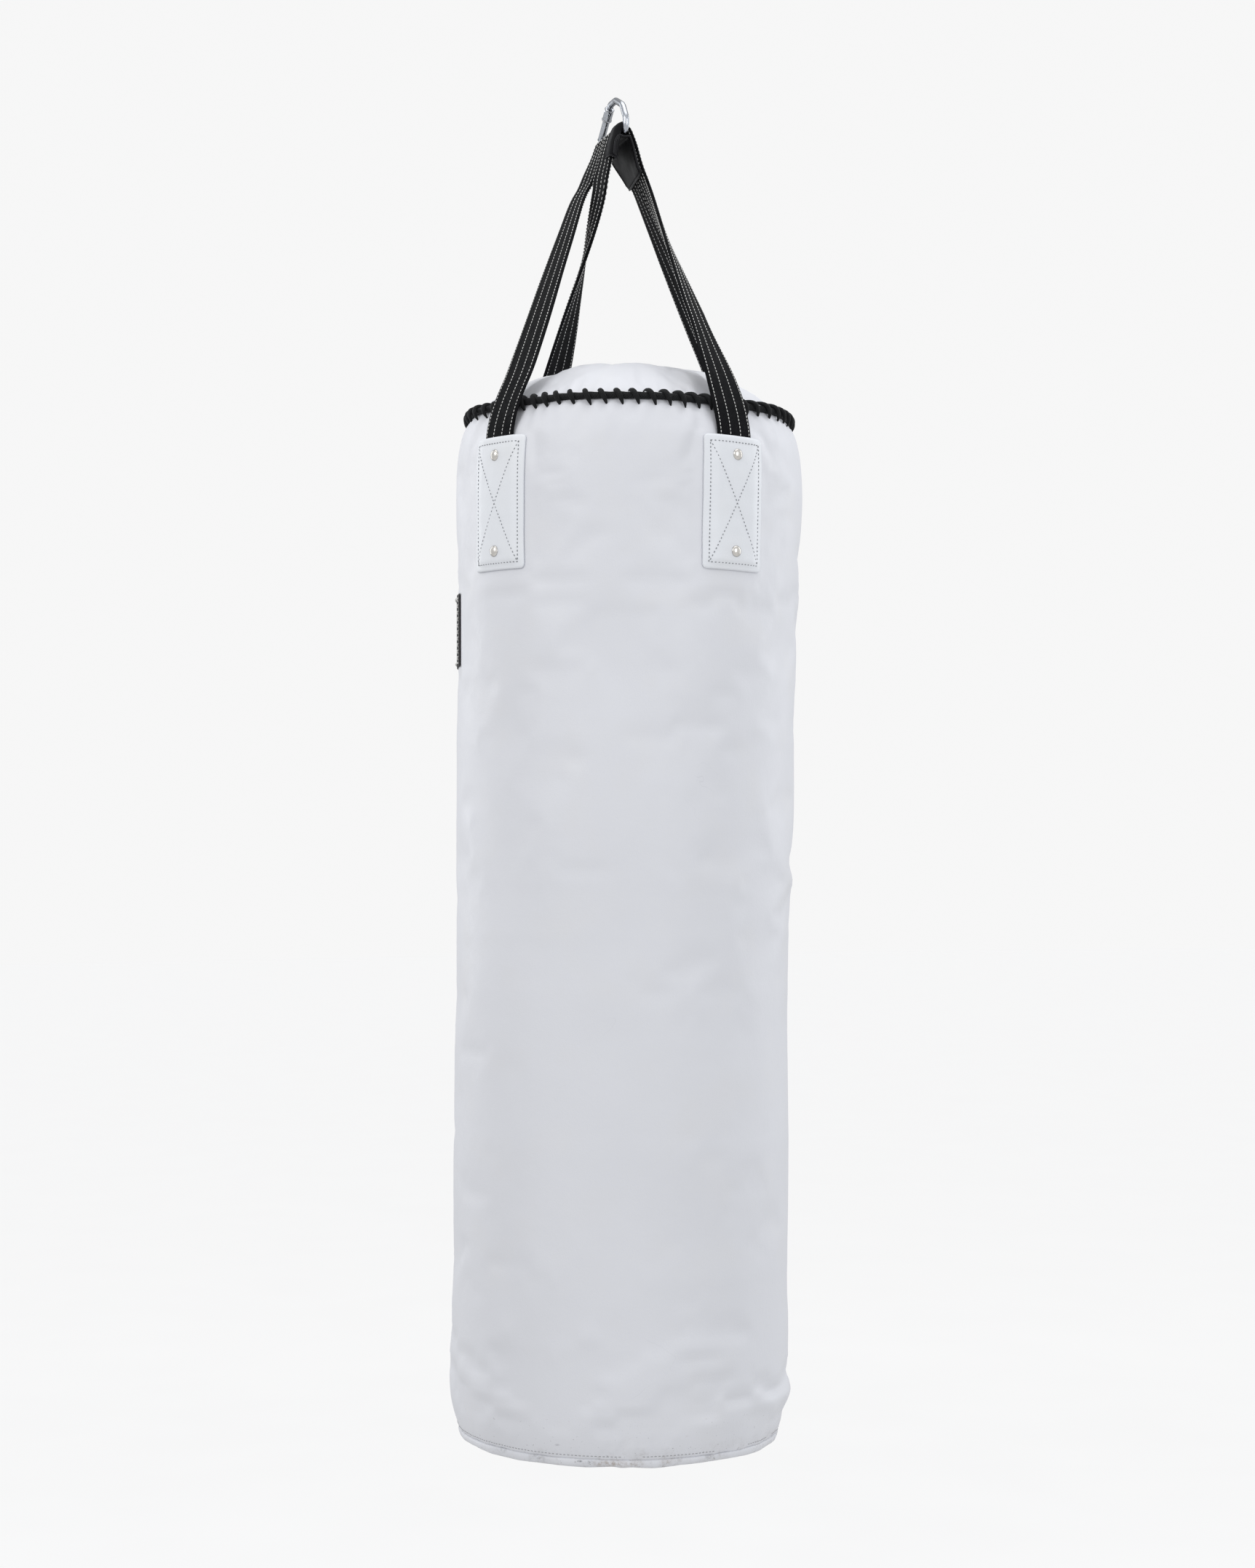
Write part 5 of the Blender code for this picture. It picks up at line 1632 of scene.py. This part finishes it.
def studio_floor():
    material = floor_material()
    turns = [math.tau * k / FLOOR_SECTORS for k in range(FLOOR_SECTORS)]
    verts = [(radius * math.cos(turn), radius * math.sin(turn), FLOOR_Z)
             for radius in FLOOR_RINGS for turn in turns]
    faces = grid_faces(len(FLOOR_RINGS), FLOOR_SECTORS, closed=True)
    faces.append(tuple(range(FLOOR_SECTORS)))
    make("studio_floor", verts, faces, [material])


studio_floor()

# ------------------------------------------------------------------ lights, world, camera
# area lights: name, place, target, size, power, colour
LIGHTS = [
    ("key", (-2.6, -3.4, 1.5), (0, 0, -0.75), (2.0, 2.0), 52, (1.0, 0.995, 0.985)),
    ("fill", (3.0, -3.0, 0.3), (0, 0, -0.8), (2.0, 2.6), 36, (0.97, 0.985, 1.0)),
    ("top", (0.2, 0.3, 2.2), (0, 0, -0.5), (2.4, 2.4), 31, (1, 1, 1)),
    ("back_left", (-2.6, 1.4, 0.2), (0, 0, -0.8), (1.2, 3.0), 22, (0.96, 0.98, 1.0)),
    ("back_right", (2.6, 1.6, 0.2), (0, 0, -0.8), (1.2, 3.0), 22, (0.96, 0.98, 1.0)),
]


def area_light(name, place, target, size, power, colour):
    light = bpy.data.lights.new(name, "AREA")
    light.shape = "RECTANGLE"
    light.size, light.size_y = size
    light.energy = power
    light.color = colour
    ob = bpy.data.objects.new(name, light)
    bpy.context.scene.collection.objects.link(ob)
    ob.location = place
    ob.rotation_mode = "QUATERNION"
    ob.rotation_quaternion = (Vector(target) - Vector(place)).to_track_quat("-Z", "Y")


def set_world():
    """Soft light for the scene, near-white backdrop for the camera."""
    world = bpy.context.scene.world or bpy.data.worlds.new("World")
    bpy.context.scene.world = world
    world.use_nodes = True
    nodes, links = world.node_tree.nodes, world.node_tree.links
    soft = nodes["Background"]
    soft.inputs["Color"].default_value = (0.97, 0.98, 1.0, 1)
    soft.inputs["Strength"].default_value = 0.66
    seen = nodes.new("ShaderNodeBackground")
    seen.inputs["Color"].default_value = (1, 1, 1, 1)
    seen.inputs["Strength"].default_value = 0.928
    rays = nodes.new("ShaderNodeLightPath")
    choice = nodes.new("ShaderNodeMixShader")
    links.new(rays.outputs["Is Camera Ray"], choice.inputs[0])
    links.new(soft.outputs[0], choice.inputs[1])
    links.new(seen.outputs[0], choice.inputs[2])
    links.new(choice.outputs[0], nodes["World Output"].inputs["Surface"])


def add_camera():
    """Level camera in front, a little to the right and slightly rolled."""
    turn = math.radians(6.5)
    distance, height, aside, roll = 3.0, -0.8539, 0.005, 0.75
    data = bpy.data.cameras.new("camera")
    data.sensor_width = 36.0
    data.lens = 1.69991 * 36.0
    data.shift_y = 0.0515
    ob = bpy.data.objects.new("camera", data)
    bpy.context.scene.collection.objects.link(ob)
    right = Vector((math.cos(turn), math.sin(turn), 0))
    forward = Vector((-math.sin(turn), math.cos(turn), 0))
    ob.location = Vector((math.sin(turn) * distance, -math.cos(turn) * distance,
                          height)) + right * aside
    ob.rotation_mode = "QUATERNION"
    ob.rotation_quaternion = (forward.to_track_quat("-Z", "Y")
                              @ Matrix.Rotation(math.radians(-roll), 3, "Z").to_quaternion())
    bpy.context.scene.camera = ob


for light in LIGHTS:
    area_light(*light)
set_world()
bpy.context.scene.view_settings.view_transform = "Standard"
add_camera()
